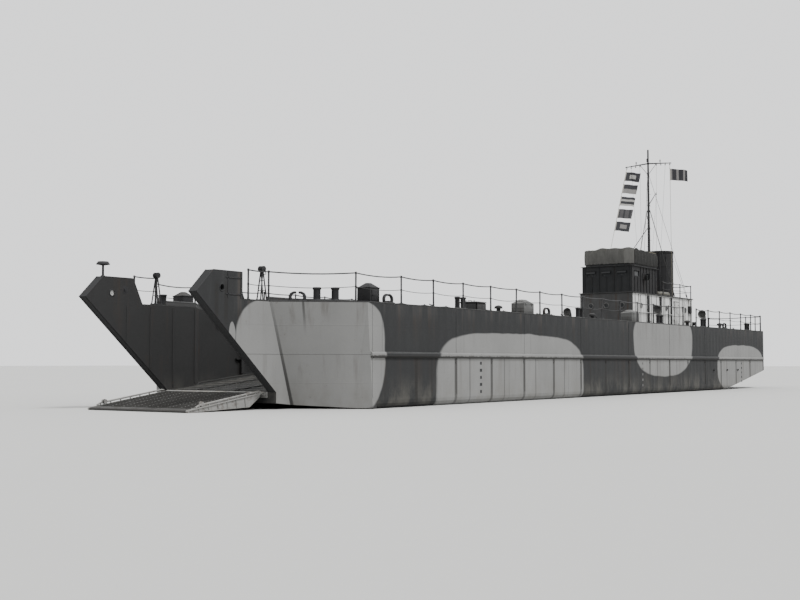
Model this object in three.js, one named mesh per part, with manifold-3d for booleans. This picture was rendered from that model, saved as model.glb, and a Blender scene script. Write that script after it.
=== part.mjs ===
// A tank landing craft of the broad, shallow, ocean-going kind, as a 1:2 scale model.
// Every size below is the full-size craft's, in metres. The exported group is scaled to the
// model's millimetres. x runs forward from the transom, y to port, z up from the flat bottom.
import * as THREE from 'three';
import { mergeVertices } from 'three/addons/utils/BufferGeometryUtils.js';
import Module from 'manifold-3d';

const wasm = await Module();
wasm.setup();

// Driving dimensions
const MODEL_SCALE = 1 / 2;
const MM_PER_METRE = 1000;
const LENGTH = 57.07;
const BEAM = 11.81;
const SEAT_GAP = 0.0008;
const RUN_GAP = 0.0006;
const MOVE_GAP = 0.016;

// Hull
const STRAKE_DEPTH = 0.09;
const HALF_BEAM = BEAM / 2 - STRAKE_DEPTH;
const HULL_TOP = 4.07;
const DECK_PLATE = 0.03;
const DECK_Z = HULL_TOP + DECK_PLATE;
const TANK_DECK_Z = 1.25;
const BILGE_RADIUS = 0.32;
const STRAKE_Z = 2.08;
const STRAKE_HEIGHT = 0.24;

// Hold
const HOLD_HALF = 3.75;
const HOLD_AFT = 16.0;
const RIB_PITCH = 2.4;
const RIB_DEPTH = 0.14;
const RIB_WIDTH = 0.09;
const COAMING_HEIGHT = 0.15;
const COAMING_WALL = 0.07;

// Bow
const NOSE_INNER = 2.67;
const NOSE_OUTER = 3.07;
const RAKE_RUN = 4.31;
const TIP_Z = 4.28;
const SILL_Z = 0.65;
const FOOT_X = LENGTH - RAKE_RUN;
const FOOT_Z = 0.24;
const HORN_Z = 5.09;
const HORN_FRONT = 0.85;
const HORN_BACK = 2.39;
const KNUCKLE_DECK = 3.9;
const KNUCKLE_KEEL = 5.2;
const FLARE_END = 6.4;
const HORN_HOLE = { x: LENGTH - 1.3, z: 4.47, radius: 0.11 };
const HORN_POST = { x: LENGTH - 1.0, height: 0.58 };
const RAMP_WINCH = { x: LENGTH - 3.75, inboard: 2.81, height: 1.32, drum: 0.12, reach: 0.12 };
const BOW_HOUSING = { x: LENGTH - 7.5, y: 5.05, width: 0.64, height: 0.8 };
const BOW_JOIN = LENGTH - 8.2;
const RAMP_SLOPE_FROM = 47.0;
const INNER_FLARE = { from: 49.9, to: 51.2 };

// Ramp
const RAMP_LENGTH = 4.1;
const RAMP_HALF = 2.6;
const RAMP_PIN = { x: FOOT_X + 0.12, z: 0.6, radius: 0.035 };
const RAMP_LUGS = [-2.1, -0.7, 0.7, 2.1];
const RAMP_TOE = { x: RAMP_LENGTH - 0.03, z: 0.01, radius: 0.05, clear: 0.002 };
const RAMP_LOWERED = Math.asin((RAMP_PIN.z + RAMP_TOE.z - RAMP_TOE.radius - RAMP_TOE.clear) / RAMP_TOE.x);

// Stern
const STERN_RISE_FROM = 10.0;
const STERN_RISE_TO = { x: 0.8, z: 1.35 };
const TRANSOM_Z = 1.6;
const STERN_CORNER = 1.7;
const SHAFT = { y: 1.9, z: 0.55, radius: 0.05 };
const PROPELLER = { x: 2.55, radius: 0.42, hub: 0.12, length: 0.26, blades: 3 };
const RUDDER = { x: 1.35, fore: 0.38, aft: 0.62, foot: 0.14, head: 1.05, stock: 0.06 };

// Superstructure
const HOUSE = { aft: 5.3, fore: 16.0, half: 1.85, height: 2.25, wall: 0.08 };
const HOUSE_TOP = DECK_Z + HOUSE.height;
const WHEELHOUSE = { aft: 11.5, fore: 15.9, half: 1.72, height: 1.75, wall: 0.07 };
const BRIDGE_Z = HOUSE_TOP + DECK_PLATE + WHEELHOUSE.height;
const SCREEN_HEIGHT = 1.05;
const MAST = { x: 8.6, top: 17.0, foot: 0.12, head: 0.06 };
const YARD = { z: 16.0, half: 1.7 };
const FUNNEL = { x: 6.45, radius: 0.89, top: 9.85, lip: 0.06 };

const SIDES = [
  { side: 'port', s: 1 },
  { side: 'starboard', s: -1 },
];

const FINISHES = {
  hull: { color: 0x4a4b4c, roughness: 0.75, metalness: 0.1 },
  house: { color: 0xa9a9a5, roughness: 0.7, metalness: 0.1 },
  bridge: { color: 0x353637, roughness: 0.75, metalness: 0.1 },
  deck: { color: 0x3c3c3b, roughness: 0.9, metalness: 0.1 },
  ramp: { color: 0x6b6a66, roughness: 0.8, metalness: 0.2 },
  fitting: { color: 0x2f3031, roughness: 0.7, metalness: 0.2 },
  wire: { color: 0x2b2b2a, roughness: 0.6, metalness: 0.4 },
  bronze: { color: 0x8a6a3a, roughness: 0.4, metalness: 0.8 },
  raft: { color: 0x77756d, roughness: 0.9, metalness: 0 },
  canvas: { color: 0x8b8a84, roughness: 0.95, metalness: 0 },
  bunting: { color: 0x55565a, roughness: 0.9, metalness: 0 },
};
const materials = Object.fromEntries(
  Object.entries(FINISHES).map(([name, finish]) => [name, new THREE.MeshStandardMaterial(finish)]),
);

const craft = new THREE.Group();

// Adds a solid to the craft as a named sub-part.
function add(name, finish, solid, parent = craft) {
  const data = solid.getMesh();
  const geometry = new THREE.BufferGeometry();
  geometry.setAttribute('position', new THREE.BufferAttribute(data.vertProperties, 3));
  geometry.setIndex(new THREE.BufferAttribute(data.triVerts, 1));
  geometry.computeVertexNormals();
  const mesh = new THREE.Mesh(geometry, materials[finish]);
  mesh.name = name;
  parent.add(mesh);
  return mesh;
}

// Turns a closed three.js geometry into a solid that can be joined and cut.
function solidOf(geometry) {
  const bare = geometry.index ? geometry.toNonIndexed() : geometry.clone();
  bare.deleteAttribute('normal');
  bare.deleteAttribute('uv');
  const merged = mergeVertices(bare, 1e-5);
  const vertProperties = new Float32Array(merged.attributes.position.array);
  const triVerts = new Uint32Array(merged.index.array);
  return new wasm.Manifold(new wasm.Mesh({ numProp: 3, vertProperties, triVerts }));
}

function join(solids) {
  return solids.reduce((whole, solid) => whole.add(solid));
}

function cut(solid, tools) {
  return tools.reduce((left, tool) => left.subtract(tool), solid);
}

// A box between two values on each axis, given in either order.
function box(x, y, z) {
  const size = [x, y, z].map(([a, b]) => Math.abs(b - a));
  const centre = [x, y, z].map(([a, b]) => (a + b) / 2);
  return solidOf(new THREE.BoxGeometry(...size).translate(...centre));
}

function extruded(outline, depth) {
  const shape = new THREE.Shape(outline.map(([u, v]) => new THREE.Vector2(u, v)));
  return new THREE.ExtrudeGeometry(shape, { depth, bevelEnabled: false, curveSegments: 1 });
}

// An outline of [x, z] points, extruded between two values of y.
function sidePlate(outline, [ya, yb]) {
  const geometry = extruded(outline, Math.abs(yb - ya));
  geometry.rotateX(Math.PI / 2);
  return solidOf(geometry.translate(0, Math.max(ya, yb), 0));
}

// An outline of [y, z] points, extruded between two values of x.
function crossPlate(outline, [xa, xb]) {
  const geometry = extruded(outline, Math.abs(xb - xa));
  const alongX = new THREE.Matrix4().makeBasis(
    new THREE.Vector3(0, 1, 0),
    new THREE.Vector3(0, 0, 1),
    new THREE.Vector3(1, 0, 0),
  );
  return solidOf(geometry.applyMatrix4(alongX).translate(Math.min(xa, xb), 0, 0));
}

// An outline of [x, y] points, extruded between two values of z.
function planPlate(outline, [za, zb]) {
  return solidOf(extruded(outline, Math.abs(zb - za)).translate(0, 0, Math.min(za, zb)));
}

// A solid between two plan outlines of as many [x, y] points, the lower at za and the upper at zb.
function tapered(lower, upper, [za, zb]) {
  const turn = THREE.ShapeUtils.area(lower.map(([x, y]) => new THREE.Vector2(x, y))) < 0;
  const low = turn ? [...lower].reverse() : lower;
  const high = turn ? [...upper].reverse() : upper;
  const count = low.length;
  const points = [...low.map(([x, y]) => [x, y, za]), ...high.map(([x, y]) => [x, y, zb])];
  const cap = (ring) => THREE.ShapeUtils.triangulateShape(ring.map(([x, y]) => new THREE.Vector2(x, y)), []);
  const faces = cap(low).map(([a, b, c]) => [c, b, a]);
  cap(high).forEach(([a, b, c]) => faces.push([a + count, b + count, c + count]));
  low.forEach((_, i) => {
    const next = (i + 1) % count;
    faces.push([i, next, next + count], [i, next + count, i + count]);
  });
  const geometry = new THREE.BufferGeometry();
  geometry.setAttribute('position', new THREE.Float32BufferAttribute(points.flat(), 3));
  geometry.setIndex(faces.flat());
  return solidOf(geometry);
}

// A round bar between two points, tapering if it is given two radii.
function rod(from, to, radius, sides = 8, endRadius = radius) {
  const a = new THREE.Vector3(...from);
  const b = new THREE.Vector3(...to);
  const along = b.clone().sub(a);
  const geometry = new THREE.CylinderGeometry(endRadius, radius, along.length(), sides);
  geometry.rotateX(Math.PI / 2);
  const turn = new THREE.Quaternion().setFromUnitVectors(new THREE.Vector3(0, 0, 1), along.normalize());
  geometry.applyQuaternion(turn);
  return solidOf(geometry.translate(...a.add(b).multiplyScalar(0.5).toArray()));
}

// The radius of a hole that a bar of this radius turns in, whichever way their flats lie.
function bearing(radius, sides = 16) {
  return (radius + RUN_GAP) / Math.cos(Math.PI / sides);
}

// A profile of [radius, z] points, turned about the upright line through x, y.
function turned(profile, [x, y], sides = 16) {
  const geometry = new THREE.LatheGeometry(profile.map(([r, z]) => new THREE.Vector2(r, z)), sides);
  return solidOf(geometry.rotateX(Math.PI / 2).translate(x, y, 0));
}

function arc([cx, cy], radius, from, to, steps) {
  return Array.from({ length: steps + 1 }, (_, i) => {
    const angle = THREE.MathUtils.degToRad(from + ((to - from) * i) / steps);
    return [cx + radius * Math.cos(angle), cy + radius * Math.sin(angle)];
  });
}

// Height of the sloping stern bottom at x.
function sternBottom(x) {
  const share = (STERN_RISE_FROM - x) / (STERN_RISE_FROM - STERN_RISE_TO.x);
  return Math.max(0, STERN_RISE_TO.z * share);
}

// Half-width of the hold at x, from the wide body to the nose.
const holdOutline = (gap) => [
  [HOLD_AFT, HOLD_HALF - gap],
  [INNER_FLARE.from, HOLD_HALF - gap],
  [INNER_FLARE.to, NOSE_INNER - gap],
];

// Hull

function sideSection(s) {
  const bilge = arc([HALF_BEAM - BILGE_RADIUS, BILGE_RADIUS], BILGE_RADIUS, -90, 0, 4);
  return [[HOLD_HALF, 0], ...bilge, [HALF_BEAM, HULL_TOP], [HOLD_HALF, HULL_TOP]].map(([y, z]) => [s * y, z]);
}

function hullBottom() {
  const profile = [
    [HOLD_AFT + SEAT_GAP, 0],
    [BOW_JOIN, 0],
    [LENGTH - 6.4, 0.04],
    [FOOT_X, FOOT_Z],
    [FOOT_X, SILL_Z],
    [RAMP_SLOPE_FROM, TANK_DECK_Z],
    [HOLD_AFT + SEAT_GAP, TANK_DECK_Z],
  ];
  const half = [...holdOutline(SEAT_GAP), [LENGTH, NOSE_INNER - SEAT_GAP]];
  const plan = [...half, ...[...half].reverse().map(([x, y]) => [x, -y])];
  return sidePlate(profile, [-HOLD_HALF, HOLD_HALF]).intersect(planPlate(plan, [-1, HULL_TOP]));
}

function tankDeck() {
  const low = SEAT_GAP;
  const high = DECK_PLATE;
  const end = FOOT_X - 0.02;
  const slope = (SILL_Z - TANK_DECK_Z) / (FOOT_X - RAMP_SLOPE_FROM);
  const endZ = TANK_DECK_Z + slope * (end - RAMP_SLOPE_FROM);
  const strip = (bottom, top, aft) => [
    [aft, TANK_DECK_Z + bottom],
    [RAMP_SLOPE_FROM, TANK_DECK_Z + bottom],
    [end, endZ + bottom],
    [end, endZ + top],
    [RAMP_SLOPE_FROM, TANK_DECK_Z + top],
    [aft, TANK_DECK_Z + top],
  ];
  const edge = RIB_DEPTH + MOVE_GAP;
  const half = holdOutline(edge);
  half[0][0] += edge;
  half.push([LENGTH, NOSE_INNER - edge]);
  const plan = [...half, ...[...half].reverse().map(([x, y]) => [x, -y])];
  const plate = sidePlate(strip(low, high, HOLD_AFT), [-HOLD_HALF, HOLD_HALF]);
  const lashingRails = [-2.9, -1.0, 1.0, 2.9].map((y) =>
    sidePlate(strip(low, high + 0.04, HOLD_AFT + 1), [y - 0.05, y + 0.05]),
  );
  const kept = planPlate(plan, [-1, HULL_TOP]);
  return join([plate, ...lashingRails]).intersect(kept);
}

function side(s) {
  const body = crossPlate(sideSection(s), [HOLD_AFT + SEAT_GAP, BOW_JOIN - SEAT_GAP]);
  const ribs = [];
  for (let x = HOLD_AFT + RIB_PITCH; x < BOW_JOIN - 1; x += RIB_PITCH) {
    const depth = [s * (HOLD_HALF - RIB_DEPTH), s * (HOLD_HALF + 0.1)];
    ribs.push(box([x, x + RIB_WIDTH], depth, [TANK_DECK_Z + SEAT_GAP, HULL_TOP - 0.1]));
  }
  return join([body, ...ribs]);
}

// One side of the bow: the flare, the narrow nose and its horn, cut to the raked stem.
function bow(s) {
  const inner = [
    [LENGTH, NOSE_INNER],
    [INNER_FLARE.to, NOSE_INNER],
    [INNER_FLARE.from, HOLD_HALF],
    [BOW_JOIN, HOLD_HALF],
  ];
  const ring = (knuckle, flareEnd) =>
    [[BOW_JOIN, HALF_BEAM], [flareEnd, HALF_BEAM], [knuckle, NOSE_OUTER], [LENGTH, NOSE_OUTER], ...inner].map(
      ([x, y]) => [x, s * y],
    );
  const keelRing = ring(LENGTH - KNUCKLE_KEEL, LENGTH - FLARE_END - 0.35);
  const deckRing = ring(LENGTH - KNUCKLE_DECK, LENGTH - FLARE_END);
  const body = tapered(keelRing, deckRing, [0, HULL_TOP]);
  const crown = tapered(deckRing, deckRing, [HULL_TOP - 0.001, HORN_Z]);
  const profile = [
    [BOW_JOIN, 0],
    [LENGTH - 6.4, 0.04],
    [FOOT_X, FOOT_Z],
    [FOOT_X, SILL_Z],
    [LENGTH, TIP_Z],
    [LENGTH - HORN_FRONT, HORN_Z],
    [LENGTH - HORN_BACK, HORN_Z],
    [LENGTH - HORN_BACK, HULL_TOP],
    [BOW_JOIN, HULL_TOP],
  ];
  const bilge = crossPlate(sideSection(s), [BOW_JOIN, BOW_JOIN + 1.2]);
  const spare = box([BOW_JOIN - 1, BOW_JOIN + 1.2], [s * HOLD_HALF, s * (HALF_BEAM + 1)], [-1, HULL_TOP]);
  const shell = join([body, crown]).intersect(sidePlate(profile, [-BEAM, BEAM]));
  const rounded = shell.subtract(spare.subtract(bilge));
  const gusset = sidePlate(
    [
      [LENGTH - HORN_BACK + 0.1, HORN_Z],
      [LENGTH - HORN_BACK, HORN_Z],
      [LENGTH - HORN_BACK - 0.5, HULL_TOP],
      [LENGTH - HORN_BACK + 0.1, HULL_TOP - 0.05],
    ],
    [s * NOSE_INNER, s * (NOSE_INNER + 0.08)],
  );
  const post = s < 0 ? [hornPost(s)] : [];
  const hole = rod([HORN_HOLE.x, 0, HORN_HOLE.z], [HORN_HOLE.x, s * BEAM, HORN_HOLE.z], HORN_HOLE.radius, 10);
  return join([rounded.subtract(hole), gusset, ...post]);
}

// A short post with a flat cap, on the top of the horn.
function hornPost(s) {
  const y = s * (NOSE_INNER + NOSE_OUTER) / 2;
  const { x, height } = HORN_POST;
  const head = HORN_Z + height;
  const profile = [[0, HORN_Z - 0.02], [0.04, HORN_Z - 0.02], [0.04, head - 0.16], [0.27, head - 0.12], [0.2, head], [0, head]];
  return turned(profile, [x, y], 8);
}

function hullAft() {
  const profile = [
    [HOLD_AFT, 0],
    [STERN_RISE_FROM, 0],
    [STERN_RISE_TO.x, STERN_RISE_TO.z],
    [0, TRANSOM_Z],
    [0, HULL_TOP],
    [HOLD_AFT, HULL_TOP],
  ];
  const corner = arc([STERN_CORNER, HALF_BEAM - STERN_CORNER], STERN_CORNER, 90, 180, 6);
  const half = [[HOLD_AFT, HALF_BEAM], ...corner];
  const plan = [...half, ...[...half].reverse().map(([x, y]) => [x, -y])];
  const bilge = arc([HALF_BEAM - BILGE_RADIUS, BILGE_RADIUS], BILGE_RADIUS, -90, 0, 4);
  const right = [...bilge, [HALF_BEAM, HULL_TOP]];
  const section = [...right, ...[...right].reverse().map(([y, z]) => [-y, z])];
  const body = sidePlate(profile, [-HALF_BEAM, HALF_BEAM])
    .intersect(planPlate(plan, [-1, HULL_TOP]))
    .intersect(crossPlate(section, [0, HOLD_AFT]));
  const trunks = SIDES.map(({ s }) =>
    rod([RUDDER.x, s * SHAFT.y, 1], [RUDDER.x, s * SHAFT.y, 1.7], bearing(RUDDER.stock), 16),
  );
  return cut(join([body, skeg(), ...SIDES.map(({ s }) => shaftLine(s))]), trunks);
}

function strake(s) {
  const inner = HALF_BEAM + SEAT_GAP;
  const section = [
    [inner, STRAKE_Z - STRAKE_HEIGHT / 2],
    [inner + STRAKE_DEPTH * 0.7, STRAKE_Z - STRAKE_HEIGHT * 0.42],
    [BEAM / 2, STRAKE_Z - STRAKE_HEIGHT * 0.2],
    [BEAM / 2, STRAKE_Z + STRAKE_HEIGHT * 0.2],
    [inner + STRAKE_DEPTH * 0.7, STRAKE_Z + STRAKE_HEIGHT * 0.42],
    [inner, STRAKE_Z + STRAKE_HEIGHT / 2],
  ];
  return crossPlate(section.map(([y, z]) => [s * y, z]), [STERN_CORNER, LENGTH - FLARE_END - 0.2]);
}

function coaming(s) {
  const inner = [...holdOutline(0), [RAMP_WINCH.x - 0.4, NOSE_INNER]];
  inner[0][0] += COAMING_WALL + 0.01;
  const outer = inner.map(([x, y]) => [x, y + COAMING_WALL]).reverse();
  const plan = [...inner, ...outer].map(([x, y]) => [x, s * y]);
  return planPlate(plan, [DECK_Z + SEAT_GAP, DECK_Z + COAMING_HEIGHT]);
}

// The plating at the after end of the hold, which stands up above the deck as a coaming.
function holdBulkhead() {
  const y = HOLD_HALF - 0.01;
  const z = [TANK_DECK_Z + DECK_PLATE + 0.05, DECK_Z + COAMING_HEIGHT];
  return box([HOLD_AFT + SEAT_GAP, HOLD_AFT + COAMING_WALL], [-y, y], z);
}

// Deck plating with what stands on it


function bollards(x, y, z, { turn = 0, apart = 0.48, radius = 0.11 } = {}) {
  const rim = radius + 0.025;
  const profile = [[0, 0], [radius, 0], [radius, 0.43], [rim, 0.45], [rim, 0.5], [0, 0.5]];
  const posts = [-1, 1].map((side) => turned(profile, [side * apart * 0.5, 0], 8));
  const length = apart / 2 + radius + 0.07;
  const base = box([-length, length], [-radius - 0.05, radius + 0.05], [-0.01, 0.06]);
  return join([base, ...posts]).rotate([0, 0, turn]).translate([x, y, z]);
}

// An open-topped ring that a mooring line runs through, turned to lie along the deck edge.
const FAIRLEAD_RISE = 0.76;
const FLARE_TURN = (Math.atan2(HALF_BEAM - NOSE_OUTER, KNUCKLE_DECK - FLARE_END) * 180) / Math.PI;

function fairlead(x, y, z, turn = 0) {
  const outer = arc([0, 0.2], 0.3, -40, 220, 7);
  const inner = arc([0, 0.2], 0.19, 220, -40, 7);
  const arch = sidePlate([...outer, ...inner], [-0.09, 0.09]);
  const mouth = box([-0.05, 0.05], [-0.2, 0.2], [0.3, 0.6]);
  const foot = box([-0.34, 0.34], [-0.11, 0.11], [-0.01, 0.07]);
  return join([arch.subtract(mouth), foot]).scale([1, 1, FAIRLEAD_RISE]).rotate([0, 0, turn]).translate([x, y, z]);
}

function mushroomVent(x, y, z) {
  const profile = [[0, -0.01], [0.1, -0.01], [0.1, 0.3], [0.2, 0.3], [0.17, 0.38], [0, 0.43]];
  return turned(profile.map(([r, h]) => [r, z + h]), [x, y], 8);
}

// A small steel locker with a hipped top.
function locker(x, y, z) {
  const body = box([x - 0.5, x + 0.5], [y - 0.35, y + 0.35], [z - 0.01, z + 0.52]);
  const lid = tapered(
    [[x - 0.52, y - 0.37], [x + 0.52, y - 0.37], [x + 0.52, y + 0.37], [x - 0.52, y + 0.37]],
    [[x - 0.2, y - 0.1], [x + 0.2, y - 0.1], [x + 0.2, y + 0.1], [x - 0.2, y + 0.1]],
    [z + 0.51, z + 0.72],
  );
  return join([body, lid]);
}

// The side deck is laid in four lengths, which butt: abaft the fore hatch, round it, up to the flare, and the bow.
const DECK_BUTTS = [HOLD_AFT, 39.2, 42.3, INNER_FLARE.from];

function straightDeck(s, length, pieces) {
  const x = [DECK_BUTTS[length] + SEAT_GAP, DECK_BUTTS[length + 1]];
  const y = [s * HOLD_HALF, s * HALF_BEAM].sort((a, b) => a - b);
  return join([box(x, y, [HULL_TOP + SEAT_GAP, DECK_Z]), ...pieces]);
}

function sideDeck(s) {
  return straightDeck(s, 0, [
    ...[31.0, 20.0].map((x) => bollards(x, s * (HALF_BEAM - 0.55), DECK_Z)),
    ...[38.0, 27.5].map((x) => mushroomVent(x, s * (HOLD_HALF + 0.6), DECK_Z)),
    ...[36.9, 24.0].map((x) => locker(x, s * (HALF_BEAM - 0.75), DECK_Z)),
    fairlead(35.5, s * (HALF_BEAM - 0.18), DECK_Z),
  ]);
}

function foreDeck(s) {
  return straightDeck(s, 2, [
    bollards(43.0, s * (HALF_BEAM - 0.55), DECK_Z),
    mushroomVent(48.6, s * (HOLD_HALF + 0.6), DECK_Z),
    fairlead(LENGTH - 8.0, s * (HALF_BEAM - 0.18), DECK_Z),
    bowHousing(s),
  ]);
}

function bowDeck(s) {
  const edge = 0.02;
  const outline = [
    [INNER_FLARE.from + SEAT_GAP, HALF_BEAM],
    [LENGTH - FLARE_END, HALF_BEAM],
    [LENGTH - KNUCKLE_DECK, NOSE_OUTER],
    [LENGTH - HORN_BACK - edge, NOSE_OUTER],
    [LENGTH - HORN_BACK - edge, NOSE_INNER + 0.1],
    [LENGTH - HORN_BACK - 0.53, NOSE_INNER + 0.1],
    [LENGTH - HORN_BACK - 0.53, NOSE_INNER],
    [INNER_FLARE.to, NOSE_INNER],
    [INNER_FLARE.from + SEAT_GAP, HOLD_HALF],
  ];
  const plate = planPlate(outline.map(([x, y]) => [x, s * y]), [HULL_TOP + SEAT_GAP, DECK_Z]);
  return join([
    plate,
    rampWinch(s),
    bollards(LENGTH - 5.64, s * 4.4, DECK_Z, { turn: s * FLARE_TURN, apart: 0.7, radius: 0.145 }),
    fairlead(LENGTH - 4.75, s * 3.72, DECK_Z, s * FLARE_TURN),
  ]);
}

function poopDeck() {
  const corner = arc([STERN_CORNER, HALF_BEAM - STERN_CORNER], STERN_CORNER, 90, 180, 6);
  const half = [[HOLD_AFT, HALF_BEAM], ...corner];
  const plan = [...half, ...[...half].reverse().map(([x, y]) => [x, -y])];
  const plate = planPlate(plan, [HULL_TOP + SEAT_GAP, DECK_Z]);
  const pieces = SIDES.flatMap(({ s }) => [
    bollards(12.6, s * (HALF_BEAM - 0.5), DECK_Z),
    bollards(3.0, s * (HALF_BEAM - 0.7), DECK_Z),
    fairlead(9.4, s * (HALF_BEAM - 0.18), DECK_Z),
    mushroomVent(14.4, s * 4.9, DECK_Z),
    mushroomVent(8.2, s * 4.9, DECK_Z),
    cowlVent(14.9, s * 3.2),
    cowlVent(6.6, s * 3.2),
  ]);
  return join([plate, ...pieces, sternRoller()]);
}

// Guard rails

// Posts along a path of [x, y] points, with a top and a middle wire, standing at height z.
function guardRail(path, z, height) {
  const posts = path.map(([x, y]) => rod([x, y, z + SEAT_GAP], [x, y, z + height], 0.04, 4));
  const wires = [height - 0.05, height * 0.5].flatMap((h) =>
    path.slice(1).map((end, i) => rod([...path[i], z + h], [...end, z + h], 0.018, 3)),
  );
  return join([...posts, ...wires]);
}

function alongX(from, to, count, y) {
  return Array.from({ length: count }, (_, i) => [from + ((to - from) * i) / (count - 1), y]);
}

const RAIL_HEIGHT = 1.15;
const RAIL_INSET = 0.14;

function sideRail(s) {
  const bowPosts = [[LENGTH - 2.75, NOSE_OUTER - 0.05], [LENGTH - 3.9, NOSE_OUTER - 0.05], [LENGTH - 6.2, 5.4]];
  const run = alongX(LENGTH - 8.88, HOLD_AFT + 1.2, 14, HALF_BEAM - RAIL_INSET);
  return guardRail([...bowPosts, ...run].map(([x, y]) => [x, s * y]), DECK_Z, RAIL_HEIGHT);
}

function poopRail(s) {
  const run = alongX(HOLD_AFT - 1.1, STERN_CORNER, 7, HALF_BEAM - RAIL_INSET);
  const round = arc([STERN_CORNER, HALF_BEAM - STERN_CORNER], STERN_CORNER - RAIL_INSET, 120, 180, 2);
  const path = [...run, ...round, [RAIL_INSET, 1.3]];
  return guardRail(path.map(([x, y]) => [x, s * y]), DECK_Z, RAIL_HEIGHT);
}

function roofRail() {
  const z = HOUSE_TOP + DECK_PLATE;
  const y = HOUSE.half - 0.06;
  const x = HOUSE.aft - 0.02;
  const path = [[WHEELHOUSE.aft - 0.9, y], [9.2, y], [7.4, y], [x, y], [x, 0], [x, -y], [7.4, -y], [9.2, -y]];
  path.push([WHEELHOUSE.aft - 0.9, -y]);
  return guardRail(path, z, 1.0);
}

// Hinges: a fixed pin between two lugs, and a barrel on the moving piece that turns on it

const HINGE = { pin: 0.016, barrel: 0.036, lug: 0.024 };

function hingePin(centre, along, reach, towards) {
  const at = (share, away) => centre.map((c, i) => c + along[i] * reach * share + towards[i] * away);
  const pin = rod(at(-1.25, 0), at(1.25, 0), HINGE.pin, 8);
  const lugs = [-1.15, 1.15].map((share) => rod(at(share, 0), at(share, 1), HINGE.lug, 6));
  return join([pin, ...lugs]);
}

function hingeBarrel(centre, along, reach) {
  const at = (share) => centre.map((c, i) => c + along[i] * reach * share);
  return { barrel: rod(at(-1), at(1), HINGE.barrel, 8), bore: rod(at(-1.5), at(1.5), bearing(HINGE.pin, 8), 8) };
}

// Deck hatches: a coaming with a hinged lid. Each lid is a moving piece.

const HATCHES = [
  { name: 'fore_hatch_port', x: 41.0, y: 4.75, half: 0.42 },
  { name: 'fore_hatch_starboard', x: 41.0, y: -4.75, half: 0.42 },
  { name: 'engine_hatch', x: 4.1, y: -3.2, half: 0.5 },
];
const HATCH_HEIGHT = 0.36;
const LID_THICK = 0.06;

function hatch({ name, x, y, half }) {
  const z = DECK_Z + SEAT_GAP;
  const top = DECK_Z + HATCH_HEIGHT;
  const ring = box([x - half, x + half], [y - half, y + half], [z, top]).subtract(
    box([x - half + 0.05, x + half - 0.05], [y - half + 0.05, y + half - 0.05], [z - 1, top + 1]),
  );
  const pinX = x - half - 0.07;
  const pinZ = top + 0.05;
  const places = [-0.55, 0.55].map((share) => [pinX, y + share * half, pinZ]);
  const across = [0, 1, 0];
  const pins = places.map((place) => hingePin(place, across, 0.09, [0.088, 0, -0.084]));
  add(`${name}_coaming`, 'deck', join([ring, ...pins]));
  const lidLow = top + 0.014;
  const plate = box([x - half + 0.03, x + half + 0.04], [y - half - 0.04, y + half + 0.04], [lidLow, lidLow + LID_THICK]);
  const barrels = places.map((place) => hingeBarrel(place, across, 0.07));
  const straps = places.map(([px, py, pz]) => box([px, px + 0.3], [py - 0.05, py + 0.05], [pz, pz + 0.045]));
  const handle = rod([x + half - 0.1, y - 0.12, lidLow + 0.11], [x + half - 0.1, y + 0.12, lidLow + 0.11], 0.018, 6);
  const ends = [-0.1, 0.1].map((dy) =>
    rod([x + half - 0.1, y + dy, lidLow + 0.02], [x + half - 0.1, y + dy, lidLow + 0.11], 0.018, 6),
  );
  const lid = join([plate, ...straps, ...barrels.map((b) => b.barrel), handle, ...ends]);
  add(`${name}_lid`, 'deck', cut(lid, barrels.map((b) => b.bore)));
}

// Superstructure

const DOOR = { width: 0.72, height: 1.72, sill: 0.22, thick: 0.05, lap: 0.05 };
const SIDE_DOOR_X = 8.0;
const AFT_DOOR_Y = 1.0;
const WHEEL_DOOR_Y = -0.6;

function houseWalls() {
  const z = [DECK_Z + SEAT_GAP, HOUSE_TOP - SEAT_GAP];
  const { aft, fore, half, wall } = HOUSE;
  const shell = box([aft, fore - 0.02], [-half, half], z);
  const room = box([aft + wall, fore - 0.02 - wall], [-half + wall, half - wall], [z[0] - 1, z[1] + 1]);
  const doorZ = [DECK_Z + DOOR.sill, DECK_Z + DOOR.sill + DOOR.height];
  const portDoor = box([SIDE_DOOR_X, SIDE_DOOR_X + DOOR.width], [half - 0.2, half + 0.2], doorZ);
  const aftDoor = box([aft - 0.2, aft + 0.2], [AFT_DOOR_Y - DOOR.width / 2, AFT_DOOR_Y + DOOR.width / 2], doorZ);
  const pinX = SIDE_DOOR_X + DOOR.width + 0.09;
  const sidePins = [0.25, 0.75].map((share) =>
    hingePin([pinX, half + 0.06, doorZ[0] + DOOR.height * share], [0, 0, 1], 0.08, [0, -0.07, 0]),
  );
  const aftPins = [0.25, 0.75].map((share) => {
    const y = AFT_DOOR_Y + DOOR.width / 2 + 0.09;
    return hingePin([aft - 0.06, y, doorZ[0] + DOOR.height * share], [0, 0, 1], 0.08, [0.07, 0, 0]);
  });
  return join([cut(shell, [room, portDoor, aftDoor]), ...sidePins, ...aftPins]);
}

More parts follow.
